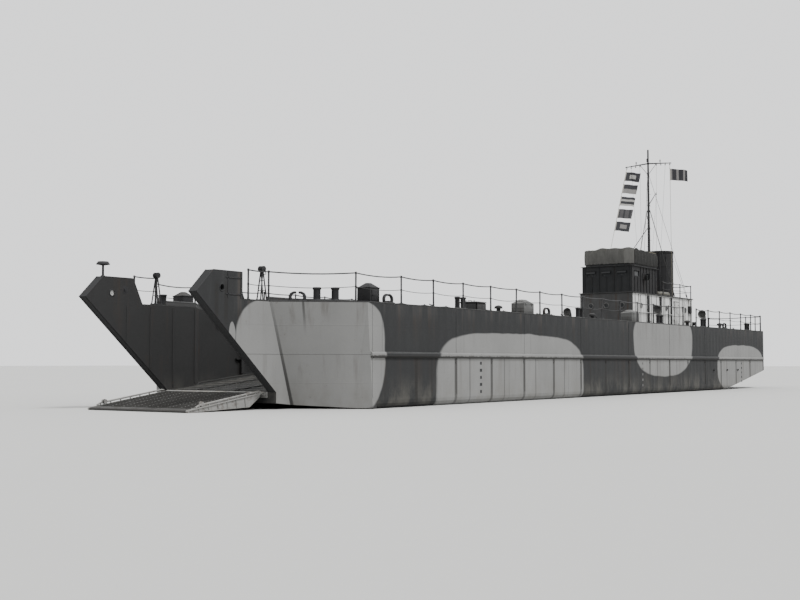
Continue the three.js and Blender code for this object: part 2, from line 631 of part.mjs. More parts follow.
// A steel door outside a wall that it laps all round. It is drawn on the port side, then turned.
function doorLeaf(height) {
  const z = [-DOOR.lap, height + DOOR.lap];
  const leaf = box([-DOOR.width - DOOR.lap, DOOR.lap], [0.012, 0.012 + DOOR.thick], z);
  const places = [0.25, 0.75].map((share) => [0.09, 0.06, height * share]);
  const barrels = places.map((place) => hingeBarrel(place, [0, 0, 1], 0.06));
  const straps = places.map(([px, py, pz]) => box([-0.4, px], [py - 0.022, py + 0.022], [pz - 0.04, pz + 0.04]));
  const lever = rod([-DOOR.width + 0.08, 0.05, height / 2], [-DOOR.width + 0.08, 0.13, height / 2], 0.02, 6);
  const grip = rod([-DOOR.width + 0.08, 0.12, height / 2], [-DOOR.width + 0.3, 0.12, height / 2], 0.018, 6);
  const body = join([leaf, ...straps, ...barrels.map((b) => b.barrel), lever, grip]);
  return cut(body, barrels.map((b) => b.bore));
}

function houseDoors() {
  const sideDoor = add('house_door_port', 'house', doorLeaf(DOOR.height));
  sideDoor.position.set(SIDE_DOOR_X + DOOR.width, HOUSE.half, DECK_Z + DOOR.sill);
  const aftDoor = add('house_door_aft', 'house', doorLeaf(DOOR.height));
  aftDoor.rotation.z = Math.PI / 2;
  aftDoor.position.set(HOUSE.aft, AFT_DOOR_Y + DOOR.width / 2, DECK_Z + DOOR.sill);
}

function houseRoof() {
  const z = [HOUSE_TOP, HOUSE_TOP + DECK_PLATE];
  const plate = box([HOUSE.aft - 0.12, HOUSE.fore - 0.02 + 0.06], [-HOUSE.half - 0.1, HOUSE.half + 0.1], z);
  return join([plate, raft(1), raft(-1)]);
}

const WHEEL_DOOR_HEIGHT = 1.4;

function wheelhouseWalls() {
  const base = HOUSE_TOP + DECK_PLATE;
  const z = [base + SEAT_GAP, BRIDGE_Z - SEAT_GAP];
  const { aft, fore, half, wall } = WHEELHOUSE;
  const shell = box([aft, fore], [-half, half], z);
  const room = box([aft + wall, fore - wall], [-half + wall, half - wall], [z[0] - 1, z[1] + 1]);
  const sight = [base + 1.12, base + 1.42];
  const frontPorts = [-1.1, 0, 1.1].map((y) => box([fore - 0.3, fore + 0.3], [y - 0.3, y + 0.3], sight));
  const sidePorts = SIDES.map(({ s }) => box([fore - 1.3, fore - 0.6], [s * (half - 0.3), s * (half + 0.3)], sight));
  const doorZ = [base + 0.12, base + 0.12 + WHEEL_DOOR_HEIGHT];
  const door = box([aft - 0.2, aft + 0.2], [WHEEL_DOOR_Y - DOOR.width / 2, WHEEL_DOOR_Y + DOOR.width / 2], doorZ);
  const pins = [0.25, 0.75].map((share) => {
    const y = WHEEL_DOOR_Y + DOOR.width / 2 + 0.09;
    return hingePin([aft - 0.06, y, doorZ[0] + WHEEL_DOOR_HEIGHT * share], [0, 0, 1], 0.08, [0.07, 0, 0]);
  });
  return join([cut(shell, [room, ...frontPorts, ...sidePorts, door]), ...pins]);
}

function wheelhouseDoor() {
  const door = add('wheelhouse_door', 'bridge', doorLeaf(WHEEL_DOOR_HEIGHT));
  door.rotation.z = Math.PI / 2;
  door.position.set(WHEELHOUSE.aft, WHEEL_DOOR_Y + DOOR.width / 2, HOUSE_TOP + DECK_PLATE + 0.12);
}

function bridgeDeck() {
  const { aft, fore, half } = WHEELHOUSE;
  const plate = box([aft - 0.1, fore + 0.1], [-half - 0.1, half + 0.1], [BRIDGE_Z, BRIDGE_Z + DECK_PLATE]);
  return join([plate, binnacle(), chartHood()]);
}

// The plated screen round the open bridge, with a way in at the after end.
function bridgeScreen() {
  const { aft, fore, half } = WHEELHOUSE;
  const z = [BRIDGE_Z + DECK_PLATE + SEAT_GAP, BRIDGE_Z + DECK_PLATE + SCREEN_HEIGHT];
  const outer = [
    [aft, -half], [fore - 0.5, -half], [fore, -half + 0.5], [fore, half - 0.5], [fore - 0.5, half], [aft, half],
  ];
  const wall = 0.06;
  const inner = [
    [aft + wall, -half + wall], [fore - 0.5, -half + wall], [fore - wall, -half + 0.5 + wall],
    [fore - wall, half - 0.5 - wall], [fore - 0.5, half - wall], [aft + wall, half - wall],
  ];
  const shell = planPlate(outer, z).subtract(planPlate(inner, [z[0] - 1, z[1] + 1]));
  return shell.subtract(box([aft - 1, aft + 1], [0.5, half - 0.3], [z[0] - 1, z[1] + 1]));
}

// A pedestal with a binnacle hood and a chart table that stand on the open bridge.
function binnacle() {
  const z = BRIDGE_Z + DECK_PLATE - 0.01;
  const profile = [[0, 0], [0.22, 0], [0.22, 0.06], [0.13, 0.12], [0.13, 0.85], [0.2, 0.9], [0.2, 1.02], [0, 1.2]];
  return turned(profile.map(([r, h]) => [r, z + h]), [14.7, 0], 12);
}

function chartHood() {
  const z = BRIDGE_Z + DECK_PLATE - 0.01;
  const roof = arc([0, z + 0.72], 0.62, 0, 180, 8);
  return crossPlate([[0.62, z], ...roof, [-0.62, z]], [12.1, 13.2]);
}

function funnel() {
  const base = HOUSE_TOP + DECK_PLATE + SEAT_GAP;
  const { x, radius, top, lip } = FUNNEL;
  const profile = [
    [0, base], [radius + 0.08, base], [radius + 0.08, base + 0.08], [radius, base + 0.1], [radius, top - 0.16],
    [radius + 0.035, top - 0.14], [radius + 0.035, top], [radius - lip, top], [radius - lip, top - 0.45], [0, top - 0.45],
  ];
  const shell = turned(profile, [x, 0], 20);
  const pipes = [-0.36, 0.36].map((y) =>
    turned([[0, top - 0.5], [0.17, top - 0.5], [0.17, top - 0.1], [0.13, top - 0.1], [0.13, top - 0.3], [0, top - 0.3]], [
      x,
      y,
    ], 8),
  );
  return join([shell, ...pipes]);
}

function mast() {
  const base = HOUSE_TOP + DECK_PLATE + SEAT_GAP;
  const { x, top, foot, head } = MAST;
  const step = turned([[0, base], [0.3, base], [0.3, base + 0.05], [0.16, base + 0.3], [0, base + 0.3]], [x, 0], 12);
  const pole = rod([x, 0, base + 0.02], [x, 0, top], foot, 10, head);
  const yard = SIDES.map(({ s }) => rod([x, 0, YARD.z], [x, s * YARD.half, YARD.z - 0.12], 0.05, 6, 0.03));
  const cleats = SIDES.map(({ s }) => rod([x, s * 0.9, YARD.z - 0.05], [x, s * 0.9, YARD.z + 0.12], 0.025, 6));
  const braces = SIDES.map(({ s }) => rod([x, 0, YARD.z - 0.75], [x, s * 0.62, YARD.z - 0.04], 0.022, 6));
  const light = turned([[0, top - 0.9], [0.12, top - 0.9], [0.12, top - 0.66], [0, top - 0.66]], [x + 0.12, 0], 8);
  const gaff = rod([x, 0, 13.0], [x - 1.5, 0, 14.1], 0.035, 6, 0.022);
  return join([step, pole, ...yard, ...cleats, ...braces, light, gaff]);
}

// Taut wires from the mast, each to its own eye on the deck below.
const STAYS = [
  { name: 'stay_fore', head: [MAST.x + 0.13, 0, 11.4], foot: [WHEELHOUSE.aft + 0.04, -0.2], footZ: 'screen' },
  { name: 'stay_port', head: [MAST.x, 0.11, 12.6], foot: [7.9, HOUSE.half - 0.25], footZ: 'roof' },
  { name: 'stay_starboard', head: [MAST.x, -0.11, 12.6], foot: [7.9, -HOUSE.half + 0.25], footZ: 'roof' },
];

function stay({ name, head, foot, footZ }, mastSolid) {
  const roofZ = HOUSE_TOP + DECK_PLATE + SEAT_GAP;
  const low = footZ === 'roof' ? roofZ : BRIDGE_Z + DECK_PLATE + SCREEN_HEIGHT + SEAT_GAP;
  const eye = rod([...foot, low], [...foot, low + 0.12], 0.04, 8);
  const wire = rod(head, [...foot, low + 0.1], 0.018, 6);
  const clear = mastSolid.add(mastSolid.translate([0, 0, SEAT_GAP]));
  const pieces = join([eye, wire]).subtract(clear).decompose();
  const longest = pieces.sort((a, b) => b.volume() - a.volume())[0];
  add(name, 'wire', longest);
}

// Halyards from the yardarms, each with its flags, streaming aft and to port
const FLAG = { width: 1.15, depth: 0.68, thick: 0.02, pitch: 1.03, first: 0.35, stream: -45 };
const SCREEN_TOP = BRIDGE_Z + DECK_PLATE + SCREEN_HEIGHT + SEAT_GAP;
const HOISTS = [
  { name: 'signal_flags', s: -1, count: 5, grow: 1, foot: [WHEELHOUSE.aft + 0.1, -WHEELHOUSE.half + 0.03, SCREEN_TOP] },
  { name: 'yardarm_flag', s: 1, count: 1, grow: 1.2, foot: [8.0, HOUSE.half - 0.4, HOUSE_TOP + DECK_PLATE + SEAT_GAP] },
];

function flagHoist({ name, s, count, grow, foot }, mastSolid) {
  const head = new THREE.Vector3(MAST.x, s * (YARD.half - 0.08), YARD.z - 0.12);
  const end = new THREE.Vector3(...foot).add(new THREE.Vector3(0, 0, 0.08));
  const run = head.distanceTo(end);
  const at = (along) => head.clone().lerp(end, along / run).toArray();
  const pieces = [rod(at(0), end.toArray(), 0.018, 4), rod(foot, end.toArray(), 0.035, 6)];
  for (let i = 0; i < count; i += 1) {
    const cloth = box([-FLAG.width * grow, 0.02], [-FLAG.thick / 2, FLAG.thick / 2], [-FLAG.depth * grow, 0]);
    pieces.push(cloth.rotate([0, 0, FLAG.stream]).translate(at(FLAG.first + i * FLAG.pitch)));
  }
  const clear = mastSolid.add(mastSolid.translate([0, 0, -SEAT_GAP]));
  const parts = join(pieces).subtract(clear).decompose();
  const largest = parts.sort((a, b) => b.volume() - a.volume())[0];
  add(name, 'bunting', largest);
}

// Rafts, vents, ladders and the stern gear

const RAFT_X = 9.6;

function raft(s) {
  const z = HOUSE_TOP + DECK_PLATE - 0.01;
  const ring = (grow) => [
    ...arc([RAFT_X + 0.45, 0], 0.42 + grow, -90, 90, 6),
    ...arc([RAFT_X - 0.45, 0], 0.42 + grow, 90, 270, 6),
  ];
  const y = s * 1.05;
  const shift = (points) => points.map(([px, py]) => [px, py + y]);
  const tube = planPlate(shift(ring(0.2)), [z, z + 0.34]).subtract(planPlate(shift(ring(-0.06)), [z - 1, z + 1]));
  const slats = [-0.6, -0.2, 0.2, 0.6].map((dx) =>
    box([RAFT_X + dx - 0.06, RAFT_X + dx + 0.06], [y - 0.5, y + 0.5], [z + 0.1, z + 0.14]),
  );
  return join([tube, ...slats]);
}

function cowlVent(x, y) {
  const z = DECK_Z - 0.01;
  const pipe = rod([x, y, z], [x, y, z + 1.12], 0.17, 8);
  const elbow = rod([x - 0.12, y, z + 0.98], [x + 0.14, y, z + 1.15], 0.17, 8, 0.2);
  const bell = rod([x + 0.08, y, z + 1.12], [x + 0.36, y, z + 1.16], 0.2, 8, 0.3);
  const mouth = rod([x + 0.14, y, z + 1.13], [x + 0.38, y, z + 1.165], 0.16, 8, 0.28);
  return join([pipe, elbow, bell]).subtract(mouth);
}

// An upright ladder of two stiles and evenly spaced rungs, at x against a wall that faces aft.
function ladder(name, x, y, [low, high]) {
  const stiles = [-0.2, 0.2].map((dy) => rod([x, y + dy, low + SEAT_GAP], [x, y + dy, high], 0.028, 4));
  const rungs = [];
  for (let z = low + 0.25; z < high - 0.05; z += 0.3) {
    rungs.push(rod([x, y - 0.2, z], [x, y + 0.2, z], 0.018, 4));
  }
  add(name, 'fitting', join([...stiles, ...rungs]));
}

const WINCH = { x: 2.3, z: 0.62, half: 0.62, drum: 0.24, flange: 0.42, axle: 0.07 };

function kedgeWinch() {
  const z = DECK_Z + SEAT_GAP;
  const axleZ = DECK_Z + WINCH.z;
  const { x, half, drum, flange, axle } = WINCH;
  const base = box([x - 0.5, x + 0.5], [-half - 0.3, half + 0.3], [z, z + 0.08]);
  const cheeks = [-1, 1].map((e) => {
    const y = [e * (half + 0.05), e * (half + 0.17)];
    const outline = [[x - 0.42, z + 0.04], [x + 0.42, z + 0.04], [x + 0.16, axleZ + 0.16], [x - 0.16, axleZ + 0.16]];
    return sidePlate(outline, y);
  });
  const bore = rod([x, -half - 1, axleZ], [x, half + 1, axleZ], bearing(axle), 16);
  add('kedge_winch_frame', 'fitting', join([base, ...cheeks]).subtract(bore));
  const barrel = rod([x, -half, axleZ], [x, half, axleZ], drum, 16);
  const discs = [-1, 1].map((e) => rod([x, e * (half - 0.05), axleZ], [x, e * half, axleZ], flange, 20));
  const shaft = rod([x, -half - 0.42, axleZ], [x, half + 0.42, axleZ], axle, 16);
  const heads = [-1, 1].map((e) => rod([x, e * (half + 0.2), axleZ], [x, e * (half + 0.42), axleZ], 0.16, 12, 0.13));
  add('kedge_winch_drum', 'fitting', join([barrel, ...discs, shaft, ...heads]));
}

function kedgeAnchor() {
  const z = DECK_Z + SEAT_GAP;
  const shank = rod([1.15, 0, z + 0.12], [0.35, 0, z + 0.5], 0.06, 8);
  const stock = rod([0.5, -0.85, z + 0.42], [0.5, 0.85, z + 0.42], 0.045, 8);
  const fluke = (e) =>
    planPlate([[0.48, e * 0.06], [1.25, e * 0.1], [0.7, e * 0.46], [0.48, e * 0.42]], [z + 0.38, z + 0.44]);
  const chock = sidePlate([[0.28, z], [1.3, z], [1.3, z + 0.12], [0.3, z + 0.46]], [-0.06, 0.06]);
  return join([shank, stock, fluke(1), fluke(-1), chock]);
}

function sternRoller() {
  const z = DECK_Z - 0.01;
  const cheeks = [-1, 1].map((e) => box([0.03, 0.25], [e * 0.98, e * 1.06], [z, z + 0.3]));
  return join([box([0.03, 0.25], [-1.06, 1.06], [z, z + 0.05]), ...cheeks, rod([0.14, -1, z + 0.2], [0.14, 1, z + 0.2], 0.07, 10)]);
}

// Propellers, shafts and rudders

function shaftLine(s) {
  const y = s * SHAFT.y;
  const aftEnd = PROPELLER.x - PROPELLER.length / 2 - 0.04;
  const shaft = rod([aftEnd, y, SHAFT.z], [6.6, y, SHAFT.z], SHAFT.radius, 16);
  const bossFrom = PROPELLER.x + PROPELLER.length / 2 + MOVE_GAP;
  const boss = rod([bossFrom, y, SHAFT.z], [bossFrom + 0.34, y, SHAFT.z], 0.09, 12);
  const strutX = bossFrom + 0.17;
  const struts = [-0.35, 0.35].map((dy) => rod([strutX, y, SHAFT.z], [strutX + 0.05, y + dy, 1.3], 0.04, 8));
  return join([shaft, boss, ...struts]);
}

function propeller(s) {
  const { x, radius, hub, length, blades } = PROPELLER;
  const y = s * SHAFT.y;
  const pieces = [rod([x - length / 2, y, SHAFT.z], [x + length / 2, y, SHAFT.z], hub, 16, hub * 0.8)];
  for (let i = 0; i < blades; i += 1) {
    const outline = [[0.06, -0.05], [0.2, -0.13], [0.34, -0.14], [radius, 0], [0.34, 0.14], [0.2, 0.13], [0.06, 0.05]];
    const blade = extruded(outline, 0.026).translate(0, 0, -0.013);
    blade.rotateX(s * THREE.MathUtils.degToRad(52));
    blade.rotateY(-Math.PI / 2);
    blade.rotateX((i * 2 * Math.PI) / blades);
    pieces.push(solidOf(blade.translate(x, y, SHAFT.z)));
  }
  const bore = rod([x - length, y, SHAFT.z], [x + length, y, SHAFT.z], bearing(SHAFT.radius), 16);
  return join(pieces).subtract(bore);
}

function rudder(s) {
  const y = s * SHAFT.y;
  const { x, fore, aft, foot, head, stock } = RUDDER;
  const outline = [
    [x + fore, 0], [x + fore * 0.7, 0.05], [x, 0.06], [x - aft, 0.008], [x - aft, -0.008], [x, -0.06], [x + fore * 0.7, -0.05],
  ];
  const blade = planPlate(outline.map(([px, py]) => [px, y + py]), [foot, head]);
  return join([blade, rod([x, y, head - 0.1], [x, y, 1.62], stock, 16)]);
}

function skeg() {
  const outline = [[9.9, 0], [3.9, 0], [3.3, 0.35], [3.2, sternBottom(3.2) + 0.1], [9.9, sternBottom(9.9) + 0.1]];
  return sidePlate(outline, [-0.09, 0.09]);
}

// Ramp, drawn level with its hinge pin at the origin, then lowered to the ground

function rampHinge() {
  const { x, z, radius } = RAMP_PIN;
  const back = box([FOOT_X + SEAT_GAP, FOOT_X + 0.03], [-NOSE_INNER + 0.02, NOSE_INNER - 0.02], [z - 0.16, z + 0.06]);
  const pin = rod([x, -RAMP_HALF, z], [x, RAMP_HALF, z], radius, 16);
  const lugs = RAMP_LUGS.map((y) =>
    join([
      rod([x, y - 0.07, z], [x, y + 0.07, z], 0.075, 12),
      box([FOOT_X + 0.01, x], [y - 0.07, y + 0.07], [z - 0.07, z + 0.05]),
    ]),
  );
  return join([back, pin, ...lugs]);
}

function ramp() {
  const lugHalf = 0.07 + MOVE_GAP;
  const edges = [-RAMP_HALF, ...RAMP_LUGS.flatMap((y) => [y - lugHalf, y + lugHalf]), RAMP_HALF];
  const barrels = [];
  for (let i = 0; i < edges.length; i += 2) {
    const span = [edges[i], edges[i + 1]];
    if (span[1] - span[0] < 0.1) continue;
    barrels.push(rod([0, span[0], 0], [0, span[1], 0], 0.075, 12));
    barrels.push(box([0, 0.14], span, [-0.03, 0.06]));
  }
  const plate = box([0.12, RAMP_LENGTH - 0.03], [-RAMP_HALF, RAMP_HALF], [-0.01, 0.06]);
  const foot = RAMP_TOE.x - 0.05;
  const girder = (y, half, depth) =>
    sidePlate([[0.16, -0.005], [0.3, -0.08], [0.9, -depth], [foot, -0.045], [foot, -0.005]], [y - half, y + half]);
  const beams = [
    ...SIDES.map(({ s }) => girder(s * (RAMP_HALF - 0.05), 0.05, 0.37)),
    ...[-1.25, 0, 1.25].map((y) => girder(y, 0.05, 0.3)),
  ];
  const toe = rod([RAMP_TOE.x, -RAMP_HALF, RAMP_TOE.z], [RAMP_TOE.x, RAMP_HALF, RAMP_TOE.z], RAMP_TOE.radius, 10);
  const treads = Array.from({ length: 11 }, (_, i) => {
    const x = 0.3 + i * 0.34;
    return box([x, x + 0.06], [-RAMP_HALF + 0.2, RAMP_HALF - 0.2], [0.055, 0.085]);
  });
  const curbs = SIDES.map(({ s }) => box([0.16, 3.7], [s * (RAMP_HALF - 0.07), s * RAMP_HALF], [0.05, 0.17]));
  const eyes = SIDES.map(({ s }) => rod([3.35, s * (RAMP_HALF - 0.16), 0.16], [3.35, s * RAMP_HALF, 0.16], 0.09, 10));
  const bore = rod([0, -RAMP_HALF - 1, 0], [0, RAMP_HALF + 1, 0], bearing(RAMP_PIN.radius), 16);
  return join([plate, ...barrels, ...beams, toe, ...treads, ...curbs, ...eyes]).subtract(bore);
}

// The stand of the hand winch that lifts the ramp, with two small drums at its head.
function rampWinch(s) {
  const { x, inboard, height, drum, reach } = RAMP_WINCH;
  const y = s * inboard;
  const z = DECK_Z - 0.01;
  const top = DECK_Z + height;
  const legs = [-1, 1].flatMap((e) =>
    [-1, 1].map((f) => rod([x + e * 0.17, y + f * 0.09, z], [x, y + f * 0.04, top - drum], 0.03, 4)),
  );
  const foot = box([x - 0.24, x + 0.24], [y - 0.12, y + 0.12], [z, z + 0.05]);
  const drums = [-1, 1].map((e) => rod([x, y + e * 0.025, top - drum], [x, y + e * reach, top - drum], drum, 10));
  const axle = rod([x, y - reach, top - drum], [x, y + reach, top - drum], 0.05, 6);
  const brace = box([x - 0.1, x + 0.1], [y - 0.08, y + 0.08], [DECK_Z + 0.45, DECK_Z + 0.5]);
  return join([...legs, foot, ...drums, axle, brace]);
}

// A steel housing with a hipped top, beside the rail where the bow widens.
function bowHousing(s) {
  const { x, y, width, height } = BOW_HOUSING;
  const half = width / 2;
  const low = DECK_Z - 0.01;
  const eaves = DECK_Z + height * 0.78;
  const ring = (reach) => [[-1, -1], [1, -1], [1, 1], [-1, 1]].map(([u, v]) => [x + u * reach, s * y + v * reach]);
  const body = tapered(ring(half), ring(half), [low, eaves]);
  return join([body, tapered(ring(half), ring(half * 0.25), [eaves - 0.001, DECK_Z + height])]);
}

// Assembly

const mastBody = mast();
add('hull_bottom', 'hull', hullBottom());
add('hull_aft', 'hull', hullAft());
add('tank_deck', 'deck', tankDeck());
add('poop_deck', 'deck', poopDeck());
add('hold_coaming_aft', 'hull', holdBulkhead());
SIDES.forEach(({ side: name, s }) => {
  add(`hull_side_${name}`, 'hull', side(s));
  add(`bow_${name}`, 'hull', bow(s));
  add(`rubbing_strake_${name}`, 'hull', strake(s));
  add(`hold_coaming_${name}`, 'hull', coaming(s));
  add(`side_deck_${name}`, 'deck', sideDeck(s));
  add(`hatch_deck_${name}`, 'deck', straightDeck(s, 1, []));
  add(`fore_deck_${name}`, 'deck', foreDeck(s));
  add(`bow_deck_${name}`, 'deck', bowDeck(s));
  add(`side_rail_${name}`, 'fitting', sideRail(s));
  add(`poop_rail_${name}`, 'fitting', poopRail(s));
  add(`propeller_${name}`, 'bronze', propeller(s));
  add(`rudder_${name}`, 'hull', rudder(s));
});
add('ramp_hinge', 'fitting', rampHinge());
const rampMesh = add('ramp', 'ramp', ramp());
rampMesh.position.set(RAMP_PIN.x, 0, RAMP_PIN.z);
rampMesh.rotation.y = RAMP_LOWERED;
HATCHES.forEach(hatch);
add('deckhouse_walls', 'house', houseWalls());
houseDoors();
add('deckhouse_roof', 'deck', houseRoof());
add('roof_rail', 'fitting', roofRail());
add('wheelhouse_walls', 'bridge', wheelhouseWalls());
wheelhouseDoor();
add('bridge_deck', 'deck', bridgeDeck());
add('bridge_screen', 'canvas', bridgeScreen());
add('funnel', 'bridge', funnel());
add('mast', 'fitting', mastBody);
STAYS.forEach((one) => stay(one, mastBody));
HOISTS.forEach((hoist) => flagHoist(hoist, mastBody));
ladder('bridge_ladder', WHEELHOUSE.aft - 0.26, 1.1, [HOUSE_TOP + DECK_PLATE, BRIDGE_Z + DECK_PLATE + 0.9]);
ladder('house_ladder', HOUSE.aft - 0.3, -1.2, [DECK_Z, HOUSE_TOP + DECK_PLATE + 0.9]);
kedgeWinch();
add('kedge_anchor', 'fitting', kedgeAnchor());

craft.scale.setScalar(MM_PER_METRE * MODEL_SCALE);
craft.position.x = (-LENGTH / 2) * MM_PER_METRE * MODEL_SCALE;

export default craft;
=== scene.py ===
"""Dresses a half-scale tank landing craft: its finer pieces, finishes, floor, lights and camera."""
import math
import random

import bmesh
import bpy
from bpy.props import FloatProperty, FloatVectorProperty
from mathutils import Matrix, Vector


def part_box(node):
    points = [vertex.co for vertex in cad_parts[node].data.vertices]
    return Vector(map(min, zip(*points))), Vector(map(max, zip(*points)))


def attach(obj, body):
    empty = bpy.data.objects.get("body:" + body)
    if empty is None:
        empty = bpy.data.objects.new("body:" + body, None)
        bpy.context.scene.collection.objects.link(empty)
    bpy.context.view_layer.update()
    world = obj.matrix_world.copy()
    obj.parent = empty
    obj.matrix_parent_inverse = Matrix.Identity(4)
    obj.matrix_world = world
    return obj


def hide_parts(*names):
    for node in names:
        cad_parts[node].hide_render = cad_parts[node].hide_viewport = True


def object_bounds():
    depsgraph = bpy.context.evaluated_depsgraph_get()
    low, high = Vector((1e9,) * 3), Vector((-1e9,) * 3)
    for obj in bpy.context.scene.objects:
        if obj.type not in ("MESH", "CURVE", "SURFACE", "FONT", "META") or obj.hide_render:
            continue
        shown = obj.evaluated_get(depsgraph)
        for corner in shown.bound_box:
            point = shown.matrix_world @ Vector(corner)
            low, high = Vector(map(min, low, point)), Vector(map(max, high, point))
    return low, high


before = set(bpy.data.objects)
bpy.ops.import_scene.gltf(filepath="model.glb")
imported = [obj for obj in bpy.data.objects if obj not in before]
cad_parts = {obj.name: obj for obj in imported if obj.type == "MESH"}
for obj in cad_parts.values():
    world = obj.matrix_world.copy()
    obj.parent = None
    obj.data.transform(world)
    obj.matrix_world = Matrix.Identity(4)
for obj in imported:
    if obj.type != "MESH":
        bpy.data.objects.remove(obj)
CAD_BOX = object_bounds()

bl_info = {
    "name": "Landing Craft Dressing",
    "version": (1, 0, 0),
    "blender": (4, 5, 0),
    "location": "View3D > Sidebar > Landing Craft",
    "description": "Pieces, finishes and stage of a half-scale tank landing craft",
    "category": "Object",
}

# Sizes are the full-size craft's, in metres: x from the transom, y to port, z up from the bottom.
MODEL_SCALE = 0.5
LENGTH = 57.07
HALF_BEAM = 5.815
HULL_TOP = 4.07
DECK_Z = 4.10
TANK_DECK_Z = 1.25
STRAKE_Z = 2.08
FLARE_X = LENGTH - 6.4
HOLD_HALF = 3.75
HOLD_AFT = 16.0
COAMING_TOP = 4.25
NARROW_X = (49.9, 51.2)
NOSE_INNER = 2.67
NOSE_OUTER = 3.07
SILL_Z = 0.65
FOOT_X = 52.76
HORN_Z = 5.09
TIP_Z = 4.28
STERN_CORNER = 1.7
HOUSE = {"aft": 5.3, "fore": 15.98, "half": 1.85, "top": 6.35}
ROOF_Z = 6.38
WHEELHOUSE = {"aft": 11.5, "fore": 15.9, "half": 1.72}
SIGHTS_Y = (-1.1, 0, 1.1)
BRIDGE_Z = 8.16
SCREEN_TOP = 9.21
MAST = {"x": 8.6, "top": 17.0, "foot": 0.12, "head": 0.06}
YARD = {"z": 16.0, "half": 1.7}
FUNNEL = {"x": 6.45, "radius": 0.89, "top": 9.85}
SIDES = (("port", 1), ("starboard", -1))
UP = Vector((0, 0, 1))
ATHWART = (0, 1, 0)
SQUARE = ((-1, -1), (1, -1), (1, 1), (-1, 1))
PLACE = Matrix.Scale(MODEL_SCALE, 4) @ Matrix.Translation((-LENGTH / 2, 0, 0))


# Settings a user would change

def colour(name, description, default):
    return FloatVectorProperty(
        name=name, description=description, subtype="COLOR", size=3, min=0.0, max=1.0, default=default
    )


def length(name, description, default):
    unit = {"subtype": "DISTANCE", "unit": "LENGTH", "precision": 4}
    return FloatProperty(name=name, description=description, min=0.0, default=default, **unit)


class LandingCraftPaint(bpy.types.PropertyGroup):
    """Colours of the paint, steel and cloth."""

    hull: colour("Hull", "Dark grey of the hull's sides", (0.021, 0.0215, 0.022))
    patch: colour("Patches", "Light grey of the disruptive patches", (0.17, 0.17, 0.166))
    hold: colour("Hold", "Paint inside the hold", (0.021, 0.021, 0.021))
    deck: colour("Deck", "Dark grey of the decks", (0.034, 0.034, 0.034))
    house: colour("Deckhouse", "Light grey of the deckhouse", (0.52, 0.52, 0.51))
    # Painted shade: the deckhouse's forward faces are given a darker colour, as they stand in shade
    house_front_shade: colour("Deckhouse front", "Dark grey of the deckhouse's forward face", (0.055, 0.055, 0.055))
    bridge: colour("Bridge", "Dark grey of the wheelhouse and bridge", (0.020, 0.021, 0.022))
    fitting: colour("Fittings", "Paint of bollards, vents and rails", (0.020, 0.020, 0.021))
    ramp: colour("Ramp", "Worn steel of the ramp", (0.21, 0.208, 0.2))
    canvas: colour("Canvas", "Weathered canvas of the dodger", (0.085, 0.084, 0.079))
    rust: colour("Rust", "Stains that run from edges and scuppers", (0.040, 0.026, 0.018))
    dirt: colour("Dirt", "Dried mud on treads and bottoms", (0.19, 0.18, 0.155))
    floor: colour("Floor", "Pale studio floor", (0.42, 0.42, 0.41))


class LandingCraftSizes(bpy.types.PropertyGroup):
    """Sizes of the finer pieces, on the full-size craft."""

    rail_rope: length("Rail rope", "Radius of the guard rails' upper rope", 0.026)
    rail_wire: length("Rail wire", "Radius of the guard rails' lower wire", 0.014)
    rail_post: length("Rail post", "Radius of the guard rails' posts", 0.036)
    rail_sag: length("Rail sag", "Dip of a guard wire between two posts", 0.06)
    stay_wire: length("Stay", "Radius of the mast's stays", 0.026)
    halyard: length("Halyard", "Radius of the signal halyards", 0.013)
    flag_wave: length("Flag wave", "Height of the waves along a flag", 0.07)


# Shader arithmetic

class Value:
    """A socket whose arithmetic adds Math nodes."""

    def __init__(self, finish, socket):
        self.finish, self.socket = finish, socket

    def math(self, operation, *values):
        inputs = dict(enumerate(values))
        return self.finish.node("ShaderNodeMath", {"operation": operation}, inputs)

    def __add__(self, other):
        return self.math("ADD", self, other)

    def __sub__(self, other):
        return self.math("SUBTRACT", self, other)

    def __rsub__(self, other):
        return self.math("SUBTRACT", other, self)

    def __mul__(self, other):
        return self.math("MULTIPLY", self, other)

    def __truediv__(self, other):
        return self.math("DIVIDE", self, other)

    def __pow__(self, other):
        return self.math("POWER", self, other)

    def __abs__(self):
        return self.math("ABSOLUTE", self)

    def __gt__(self, other):
        return self.math("GREATER_THAN", self, other)

    def __lt__(self, other):
        return self.math("LESS_THAN", self, other)

    __radd__ = __add__
    __rmul__ = __mul__

    def most(self, other):
        return self.math("MAXIMUM", self, other)

    def least(self, other):
        return self.math("MINIMUM", self, other)

    def sine(self):
        return self.math("SINE", self)

    def every(self, pitch):
        """Distance along each repeat of a pitch."""
        return self.math("FLOORED_MODULO", self, pitch)

    def step(self, low, high):
        """0 at low and 1 at high, eased between."""
        inputs = {0: self, 1: low, 2: high, 3: 0.0, 4: 1.0}
        return self.finish.node("ShaderNodeMapRange", {"interpolation_type": "SMOOTHSTEP"}, inputs)

    def line(self, centre, width):
        """1 on a line at centre, 0 at a width from it."""
        return abs(self - centre).step(width, width * 0.35)


